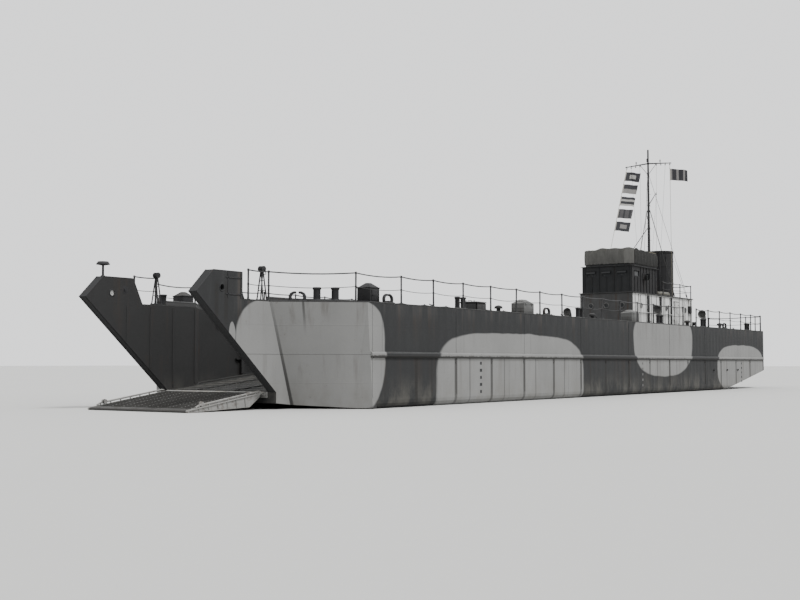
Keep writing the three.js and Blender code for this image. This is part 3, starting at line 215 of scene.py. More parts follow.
class Finish:
    """A material whose nodes read the craft's own full-size places."""

    def __init__(self, name):
        self.material = bpy.data.materials.new(name)
        self.material.use_nodes = True
        self.tree = self.material.node_tree
        self.shader = self.tree.nodes["Principled BSDF"]
        self.at = self.place()

    def node(self, kind, settings=None, inputs=None, output=0):
        node = self.tree.nodes.new(kind)
        for name, value in (settings or {}).items():
            setattr(node, name, value)
        for key, value in (inputs or {}).items():
            if isinstance(value, Value):
                self.tree.links.new(value.socket, node.inputs[key])
            else:
                node.inputs[key].default_value = value
        return Value(self, node.outputs[output])

    def place(self):
        """The point's place on the full-size craft."""
        at = self.node("ShaderNodeTexCoord", output="Object")
        inputs = {"Vector": at, "Location": (LENGTH / 2, 0, 0), "Scale": (1 / MODEL_SCALE,) * 3}
        return self.node("ShaderNodeMapping", {"vector_type": "POINT"}, inputs)

    def parts(self, vector):
        split = self.node("ShaderNodeSeparateXYZ", {}, {0: vector})
        return [Value(self, socket) for socket in split.socket.node.outputs]

    def facing(self):
        return self.parts(self.node("ShaderNodeNewGeometry", output="Normal"))

    def noise(self, size, detail=3.0, rough=0.55, stretch=None):
        at = self.at
        if stretch:
            at = self.node("ShaderNodeMapping", {}, {"Vector": at, "Scale": stretch})
        inputs = {"Vector": at, "Scale": 1.0 / size, "Detail": detail, "Roughness": rough}
        return self.node("ShaderNodeTexNoise", {}, inputs)

    def mix(self, low, high, share, blend="MIX"):
        low, high = (c if isinstance(c, Value) else (*c, 1.0) for c in (low, high))
        settings = {"data_type": "RGBA", "blend_type": blend, "clamp_factor": True}
        return self.node("ShaderNodeMix", settings, {0: share, 6: low, 7: high}, 2)

    def shade(self, tone, colour_value):
        """A colour made lighter or darker by a number round 1."""
        grey = self.node("ShaderNodeCombineColor", {}, {0: tone, 1: tone, 2: tone})
        return self.mix(colour_value, grey, 1.0, "MULTIPLY")

    def finish(self, base, rough, height=None, depth=0.002, metal=0.0, gloss=0.18, **constants):
        sockets = {
            "Base Color": base, "Roughness": rough, "Metallic": metal, "Specular IOR Level": gloss,
            **constants,
        }
        if height is not None:
            inputs = {"Strength": 1.0, "Distance": depth, "Height": height}
            sockets["Normal"] = self.node("ShaderNodeBump", {}, inputs)
        for name, value in sockets.items():
            if isinstance(value, Value):
                self.tree.links.new(value.socket, self.shader.inputs[name])
            else:
                self.shader.inputs[name].default_value = (*value, 1.0) if name == "Base Color" else value
        return self.material


# Finishes

PATCHES = (
    # side, centre x, centre z, half-length, height above and below the centre, power
    (1, LENGTH - 4.8, 2.4, 2.75, 1.81, 2.7, 3.0),
    (1, LENGTH - 1.86, 2.78, 0.18, 0.5, 0.45, 2.0),
    (1, LENGTH - 18.3, 0.75, 7.0, 2.35, 1.9, 4.0),
    (1, LENGTH - 36.4, 3.1, 4.6, 1.9, 2.1, 2.6),
    (1, 6.5, 1.5, 4.9, 1.5, 1.6, 3.0),
    (-1, LENGTH - 5.4, 2.2, 3.0, 1.95, 2.2, 3.0),
    (-1, LENGTH - 15.5, 3.4, 3.9, 1.6, 1.9, 2.6),
    (-1, LENGTH - 28.0, 0.7, 6.2, 2.2, 1.9, 3.6),
    (-1, LENGTH - 42.5, 3.0, 4.4, 1.9, 2.2, 2.6),
)
SCUPPER_PITCH = 3.05
SCUPPER_FROM = LENGTH - 12.8 - SCUPPER_PITCH * 16.5
KNUCKLE_SLOPE = 0.32
FRAME_PITCH = 0.61
PANEL_PITCH = 0.6
# Pale chalk on the hull, also the strake's painted highlight
CHALK_AND_HIGHLIGHT = (0.15, 0.15, 0.148)
# Soot streaks, also the painted shade under the strake and down the bow's knuckle
SOOT_AND_SHADE = (0.016, 0.015, 0.014)


def patches(f, x, z, outboard, port):
    """Share of the light patches, whose edges wander as a brush does."""
    wander = f.noise(1.3, 2.0) - 0.5
    px, pz = x + wander * 0.26, z + (f.noise(1.4, 2.0, 0.5, (1.0, 1.0, 1.6)) - 0.5) * 0.16
    share = None
    for side, cx, cz, half, above, below, power in PATCHES:
        up, down = (pz - cz).most(0.0) / above, (cz - pz).most(0.0) / below
        reach = (abs(px - cx) / half) ** power + (up + down) ** power
        here = reach.step(1.06, 0.94) * (port if side > 0 else 1.0 - port)
        share = share.most(here) if share else here
    return share * outboard


def hull_finish(paint):
    f = Finish("hull_paint")
    x, y, z = f.parts(f.at)
    _, ny, nz = f.facing()
    port = y > 0.0
    outward = ny * (port * 2.0 - 1.0)
    outboard = outward.step(0.25, 0.45)
    below = nz.step(-0.5, -0.8)
    inside = outward.step(-0.25, -0.45) * (abs(y) < HOLD_HALF + 0.2)
    light = patches(f, x, z, outboard, port)

    broad = f.noise(2.6, 5.0, 0.6)
    fine = f.noise(0.16, 4.0, 0.6)
    runs = f.noise(0.42, 5.0, 0.62, (1.0, 1.0, 0.07))
    wash = f.noise(1.9, 4.0, 0.6, (1.0, 1.0, 0.25))
    base = f.mix(f.mix(paint.hull, paint.patch, light), paint.hold, inside)
    base = f.shade(0.72 + broad * 0.34 + wash * 0.2, base)

    # Dirt that splashes up from below, and a paler, chalked band under the deck edge
    splash = z.step(1.5, 0.15) * f.noise(0.8, 5.0, 0.65, (1.0, 1.0, 0.5)).step(0.36, 0.66)
    base = f.mix(base, f.shade(0.42 + fine * 0.4, paint.dirt), splash * 0.4 * (1.0 - below))
    chalk = z.step(3.35, 4.05) * runs.step(0.45, 0.75) * outboard
    base = f.mix(base, CHALK_AND_HIGHLIGHT, chalk * 0.16)

    # Streaks from the deck edge, the scuppers under the strake and a lead at the bow, dark stripes under the
    # horn's sheaves, and painted shade: a dark line down the bow's knuckle, where the flare folds into the
    # nose
    edge_runs = runs.step(0.53, 0.72) * z.step(2.2, 4.0)
    repeat = (x - SCUPPER_FROM).every(SCUPPER_PITCH)
    reach = (z - 0.2) / (STRAKE_Z - 0.2)
    thin = repeat.line(SCUPPER_PITCH * 0.12, 0.07) * 0.6
    scupper = repeat.line(SCUPPER_PITCH / 2, 0.15).most(thin) * (z < STRAKE_Z)
    scupper = scupper * reach.step(-0.7, 0.3) * (x < LENGTH - 8.0)
    strake_runs = runs.step(0.5, 0.74) * (z < STRAKE_Z) * z.step(0.1, 1.9)
    lead = (x + (HULL_TOP - z) * 0.2).line(LENGTH - 4.74, 0.045) * z.step(2.7, 4.0)
    # Painted shade down the knuckle's fold
    knuckle = (x + (HULL_TOP - z) * KNUCKLE_SLOPE).line(LENGTH - 3.92, 0.05) * z.step(5.2, 0.6) * outboard
    # Dark stripes down the nose's outer face, under the horn's sheaves
    horn_stripes = x.line(LENGTH - 1.02, 0.15).most(x.line(LENGTH - 1.52, 0.15))
    horn_stripes = horn_stripes * z.step(2.8, 3.6) * z.step(4.8, 4.5)
    stain = (edge_runs * 0.42).most(strake_runs * 0.4)
    base = f.mix(base, f.shade(0.55 + fine, paint.rust), stain * (0.85 - below * 0.6))
    dark_streaks_and_knuckle_shade = (scupper * (0.45 + runs * 0.7)).most(lead * port * outboard * 0.7).most(knuckle * 0.9)
    dark_streaks_and_knuckle_shade = dark_streaks_and_knuckle_shade.most(horn_stripes * outboard * (0.35 + runs * 0.5))
    base = f.mix(base, f.shade(0.5 + fine, SOOT_AND_SHADE), dark_streaks_and_knuckle_shade * 0.9)

    # Chips through to rust, thicker along the stem, the seams and the bottom edge
    scars = f.noise(0.34, 7.0, 0.72).step(0.64, 0.69)
    stem = x.step(LENGTH - 3.4, LENGTH - 0.6) * 0.35
    chips = scars * (0.45 + stem + z.step(0.9, 0.2) * 0.5).least(1.0)
    base = f.mix(base, f.shade(0.7 + fine, paint.rust), chips * 0.8)

    # Plate laps and butts, with the plating dished in between the frames behind it
    laps = z.line(STRAKE_Z + 0.02, 0.022).most(z.line(3.2, 0.018) * 0.2).most(z.line(1.0, 0.018) * 0.15)
    butts = (x + (z > STRAKE_Z) * 2.1).every(6.1).line(3.0, 0.02) * (x < LENGTH - 7.0)
    seams = laps.most(butts) * outboard
    base = f.mix(base, f.shade(0.6, base), seams * 0.45)
    dish = ((x * (math.tau / FRAME_PITCH)).sine() * -0.5 + 0.5) * outward.step(0.7, 0.9) * outboard
    worn = f.noise(1.7, 2.0)
    height = dish * worn * 0.5 + seams * 0.55 + fine * 0.10 - chips * 0.12 + broad * 0.7
    rough = 0.74 + fine * 0.16 + chips * 0.08 - light * 0.04
    return f.finish(base, rough, height, 0.012)


def strake_finish(paint):
    """The hull's own colours carried over the strake, with a painted highlight along its top and painted
    shade along its lower edge.
    """
    f = Finish("strake_paint")
    x, y, z = f.parts(f.at)
    *_, nz = f.facing()
    fine = f.noise(0.16, 4.0, 0.6)
    runs = f.noise(0.42, 5.0, 0.62, (1.0, 1.0, 0.07))
    light = patches(f, x, z, 1.0, y > 0.0)
    base = f.mix(paint.hull, paint.patch, light)
    base = f.shade(0.75 + f.noise(2.6, 5.0, 0.6) * 0.4, base)
    # Upward faces paler: partly chalky dirt, partly painted highlight
    base = f.mix(base, CHALK_AND_HIGHLIGHT, nz.step(0.15, 0.75) * (0.1 + runs * 0.2))
    # Painted shade: the strake's lower edge and downward faces darkened, as if in the strake's own shadow
    ragged = (z - (runs.most(fine) - 0.5) * 0.22).step(STRAKE_Z, STRAKE_Z - 0.06)
    lower = ragged.most(nz.step(-0.1, -0.5))
    base = f.mix(base, f.shade(0.6 + fine, SOOT_AND_SHADE), lower * (0.55 + light * 0.25))
    chips = f.noise(0.2, 7.0, 0.72).step(0.6, 0.67) * 0.6
    base = f.mix(base, f.shade(0.7 + fine, paint.rust), chips)
    return f.finish(base, 0.68 + fine * 0.18, fine * 0.2 - chips * 0.2, 0.004)


def steel_finish(
    name, tone, paint, wear=0.3, runs=0.4, rough=0.6, dust=0.25, grain=0.10, dish=0.0, depth=0.003, front=None
):
    """Painted steel with mottling, chips, rust runs on upright faces and dust on flat ones. Where front is
    given, forward-facing faces take that colour; on the deckhouse that is painted shade.
    """
    f = Finish(name)
    x, y, _ = f.parts(f.at)
    nx, _, nz = f.facing()
    broad, fine = f.noise(1.1, 4.0, 0.6), f.noise(0.11, 4.0, 0.62)
    drips = f.noise(0.24, 4.0, 0.6, (1.0, 1.0, 0.09))
    # Forward-facing faces take the front colour: painted shade on the deckhouse and its trim
    if front is not None:
        tone = f.mix(tone, f.shade(0.6 + broad * 0.8, front), nx.step(0.6, 0.9))
    base = f.shade(0.74 + broad * 0.3 + fine * 0.2, tone)
    upright = 1.0 - abs(nz).step(0.4, 0.7)
    base = f.mix(base, f.shade(0.6 + fine, paint.rust), drips.step(0.56, 0.74) * upright * runs)
    chips = f.noise(0.2, 7.0, 0.72).step(0.61, 0.67) * wear
    base = f.mix(base, f.shade(0.7 + fine, paint.rust), chips)
    flat = nz.step(0.75, 0.95) * broad.step(0.35, 0.65)
    base = f.mix(base, f.shade(0.6 + fine * 0.4, paint.dirt), flat * dust)
    height = fine * grain + broad * 0.3 - chips * 0.15
    if dish:
        wave = ((x + y) * (math.tau / PANEL_PITCH)).sine() * -0.5 + 0.5
        height = height + wave * dish * f.noise(1.5, 2.0) * upright
    return f.finish(base, rough + fine * 0.18 + chips * 0.1, height, depth)


def deck_finish(name, tone, paint, tracks=0.0, wear=0.3):
    """Deck plating with a gritty coat, welded seams, worn paths and, in the hold, wheel tracks."""
    f = Finish(name)
    x, y, _ = f.parts(f.at)
    *_, nz = f.facing()
    broad, fine = f.noise(1.8, 5.0, 0.6), f.noise(0.06, 3.0, 0.6)
    grit = f.noise(0.025, 2.0, 0.7)
    base = f.shade(0.66 + broad * 0.45 + fine * 0.2, tone)
    worn = f.noise(0.7, 6.0, 0.68).step(0.5, 0.68) * wear
    base = f.mix(base, f.shade(0.8 + grit * 0.5, (0.095, 0.093, 0.088)), worn)
    seams = x.every(2.44).line(1.2, 0.025).most(y.every(1.5).line(0.75, 0.022)) * nz.step(0.6, 0.9)
    base = f.mix(base, f.shade(0.8 + fine, paint.rust), seams * 0.6)
    if tracks:
        paths = abs(abs(y) - 1.95).step(0.62, 0.3)
        treads = ((x + abs(y) * 0.35) * (math.tau / 0.19)).sine().step(-0.2, 0.5)
        mud = paths * f.noise(0.9, 5.0, 0.65, (0.35, 1.0, 1.0)).step(0.36, 0.62)
        base = f.mix(base, f.shade(0.6 + fine * 0.6, paint.dirt), mud * (0.45 + treads * 0.4) * tracks)
        scrapes = f.noise(0.5, 6.0, 0.7, (0.06, 1.0, 1.0)).step(0.58, 0.66)
        base = f.mix(base, (0.16, 0.158, 0.15), scrapes * 0.5 * tracks)
    stain = f.noise(0.55, 6.0, 0.7).step(0.6, 0.72)
    base = f.mix(base, f.shade(0.8 + fine, paint.rust), stain * 0.5)
    rough = 0.74 + fine * 0.16 - worn * 0.18
    return f.finish(base, rough, grit * 0.35 + fine * 0.3 + seams * 0.9 + broad * 0.5, 0.003)


def ramp_finish(paint):
    """Bare steel, pale on the kerbs and girders and darker on the tops and forward faces between them."""
    f = Finish("ramp_steel")
    x, y, _ = f.parts(f.at)
    nx, _, nz = f.facing()
    broad, fine = f.noise(0.9, 5.0, 0.62), f.noise(0.07, 4.0, 0.62)
    base = f.shade(0.6 + broad * 0.5 + fine * 0.25, paint.ramp)
    rust = f.noise(0.3, 6.0, 0.7).step(0.5, 0.66)
    base = f.mix(base, f.shade(0.8 + fine, paint.rust), rust * 0.62)
    drag = f.noise(0.22, 5.0, 0.65, (0.1, 1.0, 1.0)).step(0.55, 0.68) * nz.step(0.5, 0.9)
    base = f.mix(base, (0.22, 0.218, 0.21), drag * 0.6)
    mud = f.noise(0.8, 6.0, 0.66).step(0.46, 0.62) * nz.step(0.3, 0.9)
    base = f.mix(base, f.shade(0.7 + fine * 0.5, paint.dirt), mud * 0.7)
    # Tops and forward faces between the kerbs are darkened
    darker_between_kerbs = nz.step(0.6, 0.9).most(nx.step(0.3, 0.6)) * (abs(y) < RAMP_HALF - 0.09) * (x > RAMP_PIN.x + 0.2)
    base = f.mix(
        base, f.shade(0.45 + broad * 0.6 + fine * 0.4 + drag * 0.9, (0.034, 0.033, 0.031)), darker_between_kerbs * 0.94
    )
    rough = 0.66 + mud * 0.2 - drag * 0.2
    return f.finish(base, rough, fine * 0.35 + mud * 0.5 - rust * 0.15, 0.004, metal=drag * 0.5)


def rope_finish(name, tone, twist, rough=0.75, metal=0.0):
    """Strands laid round a wire or rope, with painted shade in the grooves between them."""
    f = Finish(name)
    x, y, z = f.parts(f.at)
    lay = ((x + y * 1.3 + z * 1.7) * (math.tau / twist)).sine() * 0.5 + 0.5
    fine = f.noise(0.05, 3.0)
    # Painted shade: the colour darkens in the grooves between strands, following the lay that shapes the bump
    base = f.shade(0.6 + lay * 0.35 + fine * 0.3, tone)
    return f.finish(base, rough + fine * 0.15, lay, 0.002, metal=metal)


def canvas_finish(name, tone, weave=0.014, stain=0.4):
    f = Finish(name)
    x, y, z = f.parts(f.at)
    broad, fine = f.noise(0.6, 5.0, 0.62), f.noise(0.05, 3.0)
    warp = ((x + y) * (math.tau / weave)).sine()
    weft = (z * (math.tau / weave)).sine()
    base = f.shade(0.7 + broad * 0.4 + fine * 0.15, tone)
    marks = f.noise(0.4, 5.0, 0.66, (1.0, 1.0, 0.3)).step(0.5, 0.7)
    base = f.mix(base, f.shade(0.45, tone), marks * stain)
    return f.finish(base, 0.88 + fine * 0.1, warp * weft * 0.5 + broad * 1.5 + fine * 0.4, 0.002)


def bronze_finish():
    f = Finish("propeller_bronze")
    broad, fine = f.noise(0.16, 5.0, 0.65), f.noise(0.02, 3.0)
    base = f.mix((0.42, 0.27, 0.10), (0.12, 0.16, 0.11), broad.step(0.45, 0.7))
    return f.finish(f.shade(0.8 + fine * 0.4, base), 0.3 + broad * 0.35, fine, 0.0006, metal=0.85)


def wood_finish(name, tone):
    f = Finish(name)
    grain = f.noise(0.05, 6.0, 0.65, (0.12, 1.0, 1.0))
    broad = f.noise(0.5, 3.0)
    base = f.mix(f.shade(0.75 + broad * 0.4, tone), f.shade(0.4, tone), grain.step(0.48, 0.66))
    return f.finish(base, 0.7 + grain * 0.2, grain, 0.001)


def glass_finish():
    f = Finish("port_glass")
    smear = f.noise(0.15, 4.0)
    base = f.mix((0.012, 0.014, 0.016), (0.05, 0.05, 0.05), smear.step(0.4, 0.8))
    return f.finish(base, 0.28 + smear * 0.3, gloss=0.2)


def bunting_finish(name, ground, device, pattern):
    """Worn wool bunting. The device is drawn on the flag's own UV map."""
    f = Finish(name)
    u, v, _ = f.parts(f.node("ShaderNodeTexCoord", output="UV"))
    broad, fine = f.noise(0.3, 4.0), f.noise(0.02, 2.0)
    device_on = {
        "border": lambda: abs(u - 0.52).most(abs(v - 0.5)) < 0.22,
        "stripes": lambda: v.every(0.5) < 0.22,
        "bars": lambda: u.every(0.36) < 0.12,
        "halves": lambda: v > 0.5,
    }[pattern]()
    cloth = f.mix(ground, device, device_on)
    cloth = f.mix(cloth, (0.30, 0.29, 0.26), u < 0.05)
    cloth = f.shade(0.7 + broad * 0.35 + fine * 0.2, cloth)
    weave = (u * 900.0).sine() * (v * 520.0).sine()
    return f.finish(cloth, 0.9, weave * 0.3 + broad, 0.001)


def floor_finish(paint):
    f = Finish("studio_floor")
    broad = f.noise(14.0, 3.0)
    fine = f.noise(0.5, 4.0)
    base = f.shade(0.96 + broad * 0.05 + fine * 0.02, paint.floor)
    return f.finish(base, 0.85, fine, 0.001)


FINISHES = {
    "hull": hull_finish,
    "strake": strake_finish,
    "hold": lambda p: steel_finish("hold_paint", p.hold, p, 0.4, 0.5, dust=0.4),
    "deck": lambda p: deck_finish("deck_plating", p.deck, p),
    "tank_deck": lambda p: deck_finish("tank_deck_plating", (0.019, 0.0188, 0.018), p, 0.25, 0.2),
    "coaming": lambda p: steel_finish("coaming_paint", (0.042, 0.042, 0.042), p, 0.4, 0.45),
    # The deckhouse and its trim: painted shade on their forward faces
    "house": lambda p: steel_finish(
        "deckhouse_paint", p.house, p, 0.22, 0.75, 0.5, dish=0.8, depth=0.006, front=p.house_front_shade
    ),
    "house_trim": lambda p: steel_finish(
        "deckhouse_trim", (0.40, 0.40, 0.39), p, 0.3, 0.7, 0.5, front=p.house_front_shade
    ),
    "bridge": lambda p: steel_finish(
        "bridge_paint", (0.009, 0.009, 0.0095), p, 0.2, 0.3, dish=0.8, depth=0.006, front=p.bridge
    ),
    "fitting": lambda p: steel_finish("fitting_paint", p.fitting, p, 0.35, 0.4, 0.55),
    "light_fitting": lambda p: steel_finish("light_fitting_paint", (0.085, 0.085, 0.083), p, 0.4, 0.5, 0.5),
    "rail": lambda p: steel_finish("rail_paint", (0.028, 0.028, 0.029), p, 0.35, 0.2, 0.5),
    "funnel": lambda p: steel_finish("funnel_paint", (0.018, 0.018, 0.019), p, 0.2, 0.3, 0.7, grain=0.2),
    "mast": lambda p: steel_finish("mast_paint", (0.028, 0.028, 0.029), p, 0.2, 0.2, 0.55),
    "ramp": ramp_finish,
    "wire": lambda p: rope_finish("rigging_wire", (0.035, 0.035, 0.034), 0.05, 0.5, 0.6),
    "rope": lambda p: rope_finish("manila_rope", (0.16, 0.145, 0.11), 0.06, 0.9),
    "canvas": lambda p: canvas_finish("dodger_canvas", p.canvas),
    "dark_canvas": lambda p: canvas_finish("side_cloth_canvas", (0.02, 0.02, 0.019), stain=0.2),
    "raft": lambda p: canvas_finish("raft_canvas", (0.14, 0.138, 0.128), stain=0.3),
    "bronze": lambda p: bronze_finish(),
    "wood": lambda p: wood_finish("scrubbed_timber", (0.14, 0.125, 0.095)),
    "glass": lambda p: glass_finish(),
    "floor": floor_finish,
}
COATS = {}


def coat(name):
    """The material of a finish, made the first time it is asked for."""
    if name not in COATS:
        COATS[name] = FINISHES[name](bpy.context.scene.craft_paint)
    return COATS[name]


def dress(finish, *nodes):
    """Gives CAD nodes a finish. Their meshes and places are left alone."""
    for node in nodes:
        for slot in bpy.data.objects[node].material_slots:
            slot.link = "OBJECT"
            slot.material = coat(finish)


# Shapes. Each returns a bmesh at full size, which piece() joins with others.

def about(middle, half):
    return middle - half, middle + half


def spread(low, high, count):
    return [low + (high - low) * i / (count - 1) for i in range(count)]


def turns(count):
    return [math.tau * i / count for i in range(count)]


def circle(radius, z, count):
    return [(radius * math.cos(a), radius * math.sin(a), z) for a in turns(count)]


def arc(centre, radius, low, high, steps):
    """Points of an arc in a plane, between two angles in degrees."""
    angles = [math.radians(a) for a in spread(low, high, steps + 1)]
    return [(centre[0] + radius * math.cos(a), centre[1] + radius * math.sin(a)) for a in angles]


def between(start, end, share):
    return tuple(Vector(start).lerp(Vector(end), share))


def mirrored(half):
    """A path on the port side and back along the starboard side."""
    return [*half, *((x, -y, *z) for x, y, *z in reversed(half))]


def both_ends(profile):
    """A profile and its mirror about height 0."""
    return [*profile, *((r, -h) for r, h in reversed(profile) if h)]


def disc(radius, low, high):
    """The profile of a flat round."""
    return [(0, low), (radius, low), (radius, high), (0, high)]


def barrel(bore, radius, low, high, lip=0.002):
    """The profile of a bored knuckle with eased ends."""
    return [
        (bore, low), (radius - lip, low), (radius, low + 0.008), (radius, high - 0.008), (radius - lip, high),
        (bore, high), (bore, low),
    ]


def tilted(axis):
    """The turn that takes the upright to an axis."""
    return UP.rotation_difference(Vector(axis)).to_matrix().to_4x4()


def moved(shapes, matrix):
    """The shapes, moved by a matrix. A mirror turns their faces back outward."""
    for shape in shapes:
        bmesh.ops.transform(shape, matrix=matrix, verts=shape.verts)
        if matrix.determinant() < 0:
            bmesh.ops.reverse_faces(shape, faces=shape.faces)
    return shapes


def sided(shapes, s):
    """Shapes drawn on the port side, mirrored where s is -1."""
    return moved(shapes, Matrix.Diagonal((1, s, 1, 1)))


def stood(shapes, x, y, turn=0.0, rise=1.0):
    """Shapes drawn round the origin, stood on the deck."""
    place = Matrix.Translation((x, y, DECK_Z)) @ Matrix.Rotation(turn, 4, "Z")
    return moved(shapes, place @ Matrix.Diagonal((1, 1, rise, 1)))


def soften(shape, width, steps=2, over=30.0):
    """Rounds the edges that turn by more than an angle in degrees."""
    if width:
        edges = [e for e in shape.edges if e.is_manifold and e.calc_face_angle(0.0) > math.radians(over)]
        bmesh.ops.bevel(
            shape, geom=edges, offset=width, offset_type="OFFSET", segments=steps, profile=0.5,
            affect="EDGES", clamp_overlap=True, material=-1,
        )
    return shape


def block(x, y, z, soft=0.008, steps=1):
    """A box between two values on each axis."""
    shape = bmesh.new()
    middle, size = zip(*(((a + b) / 2, abs(b - a)) for a, b in (x, y, z)))
    place = Matrix.Translation(middle) @ Matrix.Diagonal((*size, 1.0))
    bmesh.ops.create_cube(shape, size=1.0, matrix=place)
    return soften(shape, soft, steps)


def rod(start, end, radius, end_radius=None, sides=16, soft=0.0):
    """A round bar between two points."""
    shape = bmesh.new()
    start, end = Vector(start), Vector(end)
    bmesh.ops.create_cone(
        shape, cap_ends=True, segments=sides, radius1=radius, depth=(end - start).length,
        radius2=radius if end_radius is None else end_radius,
        matrix=Matrix.Translation((start + end) / 2) @ tilted(end - start),
    )
    return soften(shape, soft)


def hoop(corners, radius):
    """Round bars that close a line of corners."""
    return [rod(p, q, radius, sides=8) for p, q in zip(corners, corners[1:] + corners[:1])]


def bolts(points, radius=0.022, height=0.014, axis=(0, 0, 1)):
    """Hexagon heads on a face that looks along an axis."""
    step = Vector(axis) * height
    return [rod(p, Vector(p) + step, radius, sides=6, soft=0.002) for p in points]


def turned(profile, place=(0, 0, 0), axis=(0, 0, 1), sides=28):
    """A profile of (radius, height) points, spun about an axis through a place."""
    shape = bmesh.new()
    points = [shape.verts.new((r, 0, h)) for r, h in profile]
    edges = [shape.edges.new(pair) for pair in zip(points, points[1:])]
    bmesh.ops.spin(
        shape, geom=points + edges, cent=(0, 0, 0), axis=(0, 0, 1), angle=math.tau, steps=sides,
        use_merge=True,
    )
    bmesh.ops.remove_doubles(shape, verts=shape.verts, dist=1e-5)
    bmesh.ops.recalc_face_normals(shape, faces=shape.faces)
    bmesh.ops.transform(shape, matrix=Matrix.Translation(place) @ tilted(axis), verts=shape.verts)
    return shape


def ring(place, radius, thick, axis=(0, 0, 1), sides=28, round_sides=10):
    """A round bar bent into a full ring."""
    bar = [(radius + r, h) for r, h, _ in circle(thick, 0, round_sides)]
    return turned([*bar, bar[0]], place, axis, sides)


def new_verts(grown):
    return [g for g in grown["geom"] if isinstance(g, bmesh.types.BMVert)]


def plate(outline, low, high, across="z", soft=0.0, steps=1):
    """An outline, as points in the plane square to an axis, given thickness along that axis."""
    shape = bmesh.new()
    lay = {
        "z": lambda u, v: (u, v, low), "y": lambda u, v: (u, low, v), "x": lambda u, v: (low, u, v)
    }[across]
    thick = {"z": (0, 0, 1), "y": (0, 1, 0), "x": (1, 0, 0)}[across]
    face = shape.faces.new([shape.verts.new(lay(u, v)) for u, v in outline])
    moving = new_verts(bmesh.ops.extrude_face_region(shape, geom=[face]))
    bmesh.ops.translate(shape, vec=Vector(thick) * (high - low), verts=moving)
    bmesh.ops.recalc_face_normals(shape, faces=shape.faces)
    return soften(shape, soft, steps)


def copy_of(node):
    """A merged copy of a CAD node at full size, so that its shallow folds can be shaded as bends."""
    shape = bmesh.new()
    shape.from_mesh(bpy.data.objects[node].data)
    bmesh.ops.remove_doubles(shape, verts=shape.verts, dist=1e-5)
    return moved([shape], PLACE.inverted())


def ruled_plate(low_aft, low_fore, high_aft, high_fore, inward, cuts=12):
    """A plate ruled between its lower and upper edges, so that it twists evenly. inward is its thickness."""
    shape = bmesh.new()
    bmesh.ops.create_grid(shape, x_segments=cuts, y_segments=cuts, size=0.5)
    low_aft, low_fore, high_aft, high_fore = map(Vector, (low_aft, low_fore, high_aft, high_fore))
    for vert in shape.verts:
        u, v = vert.co.x + 0.5, vert.co.y + 0.5
        vert.co = low_aft.lerp(low_fore, u).lerp(high_aft.lerp(high_fore, u), v)
    moving = new_verts(bmesh.ops.extrude_face_region(shape, geom=shape.faces[:]))
    bmesh.ops.translate(shape, vec=inward, verts=moving)
    bmesh.ops.recalc_face_normals(shape, faces=shape.faces[:])
    return shape


def woven(grid):
    """A sheet through columns of points."""
    shape = bmesh.new()
    columns, rows = len(grid), len(grid[0])
    bmesh.ops.create_grid(shape, x_segments=columns - 1, y_segments=rows - 1, size=0.5)
    for i, vert in enumerate(shape.verts):
        vert.co = grid[i % columns][i // columns]
    return shape


def tube(path, radius, sides=10, closed=False):
    """A round bar, pipe or rope that follows points."""
    shape = bmesh.new()
    points = [Vector(p) for p in path]
    count = len(points)
    tangents = []
    for i in range(count):
        ahead, behind = ((i + 1) % count, i - 1) if closed else (min(i + 1, count - 1), max(i - 1, 0))
        tangents.append((points[ahead] - points[behind]).normalized())
    turn = UP.rotation_difference(tangents[0])
    places = []
    for i, (point, tangent) in enumerate(zip(points, tangents)):
        if i:
            turn = tangents[i - 1].rotation_difference(tangent) @ turn
        places.append(Matrix.Translation(point) @ turn.to_matrix().to_4x4())
    bmesh.ops.create_circle(shape, cap_ends=not closed, radius=radius, segments=sides, matrix=places[0])
    first = loop = shape.edges[:]
    for before, after in zip(places, places[1:]):
        grown = bmesh.ops.extrude_edge_only(shape, edges=loop)
        loop = [g for g in grown["geom"] if isinstance(g, bmesh.types.BMEdge)]
        bmesh.ops.transform(shape, matrix=after @ before.inverted(), verts=new_verts(grown))
    if closed:
        bmesh.ops.bridge_loops(shape, edges=first + loop)
    else:
        bmesh.ops.contextual_create(shape, geom=loop)
    bmesh.ops.recalc_face_normals(shape, faces=shape.faces)
    return shape


def piece(name, shapes, finish, body="hull", instead_of=(), crease=32.0):
    """One object of joined shapes, put at model size where the craft stands."""
    whole = bmesh.new()
    for shape in shapes:
        part = bpy.data.meshes.new("part")
        shape.to_mesh(part)
        shape.free()
        whole.from_mesh(part)
        bpy.data.meshes.remove(part)
    bmesh.ops.transform(whole, matrix=PLACE, verts=whole.verts)
    mesh = bpy.data.meshes.new(name)
    whole.to_mesh(mesh)
    whole.free()
    mesh.shade_smooth()
    mesh.set_sharp_from_angle(angle=math.radians(crease))
    mesh.materials.append(coat(finish))
    made = bpy.data.objects.new(name, mesh)
    bpy.context.scene.collection.objects.link(made)
    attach(made, body)
    if instead_of:
        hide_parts(*instead_of)
    return made


# Rails

def stanchion(height, radius, balls):
    """A rail post with a foot flange and a ball at each wire."""
    profile = [(0, 0), (0.075, 0), (0.075, 0.018), (radius * 1.3, 0.03), (radius * 1.1, 0.09)]
    swell = radius * 1.28
    for ball in balls:
        profile += [(radius, ball - swell * 0.9), (swell, ball - swell * 0.3), (swell, ball + swell * 0.3)]
        profile += [(radius * 0.95, ball + swell * 0.9)]
    return turned([*profile, (radius * 0.8, height), (0, height + 0.004)], sides=10)


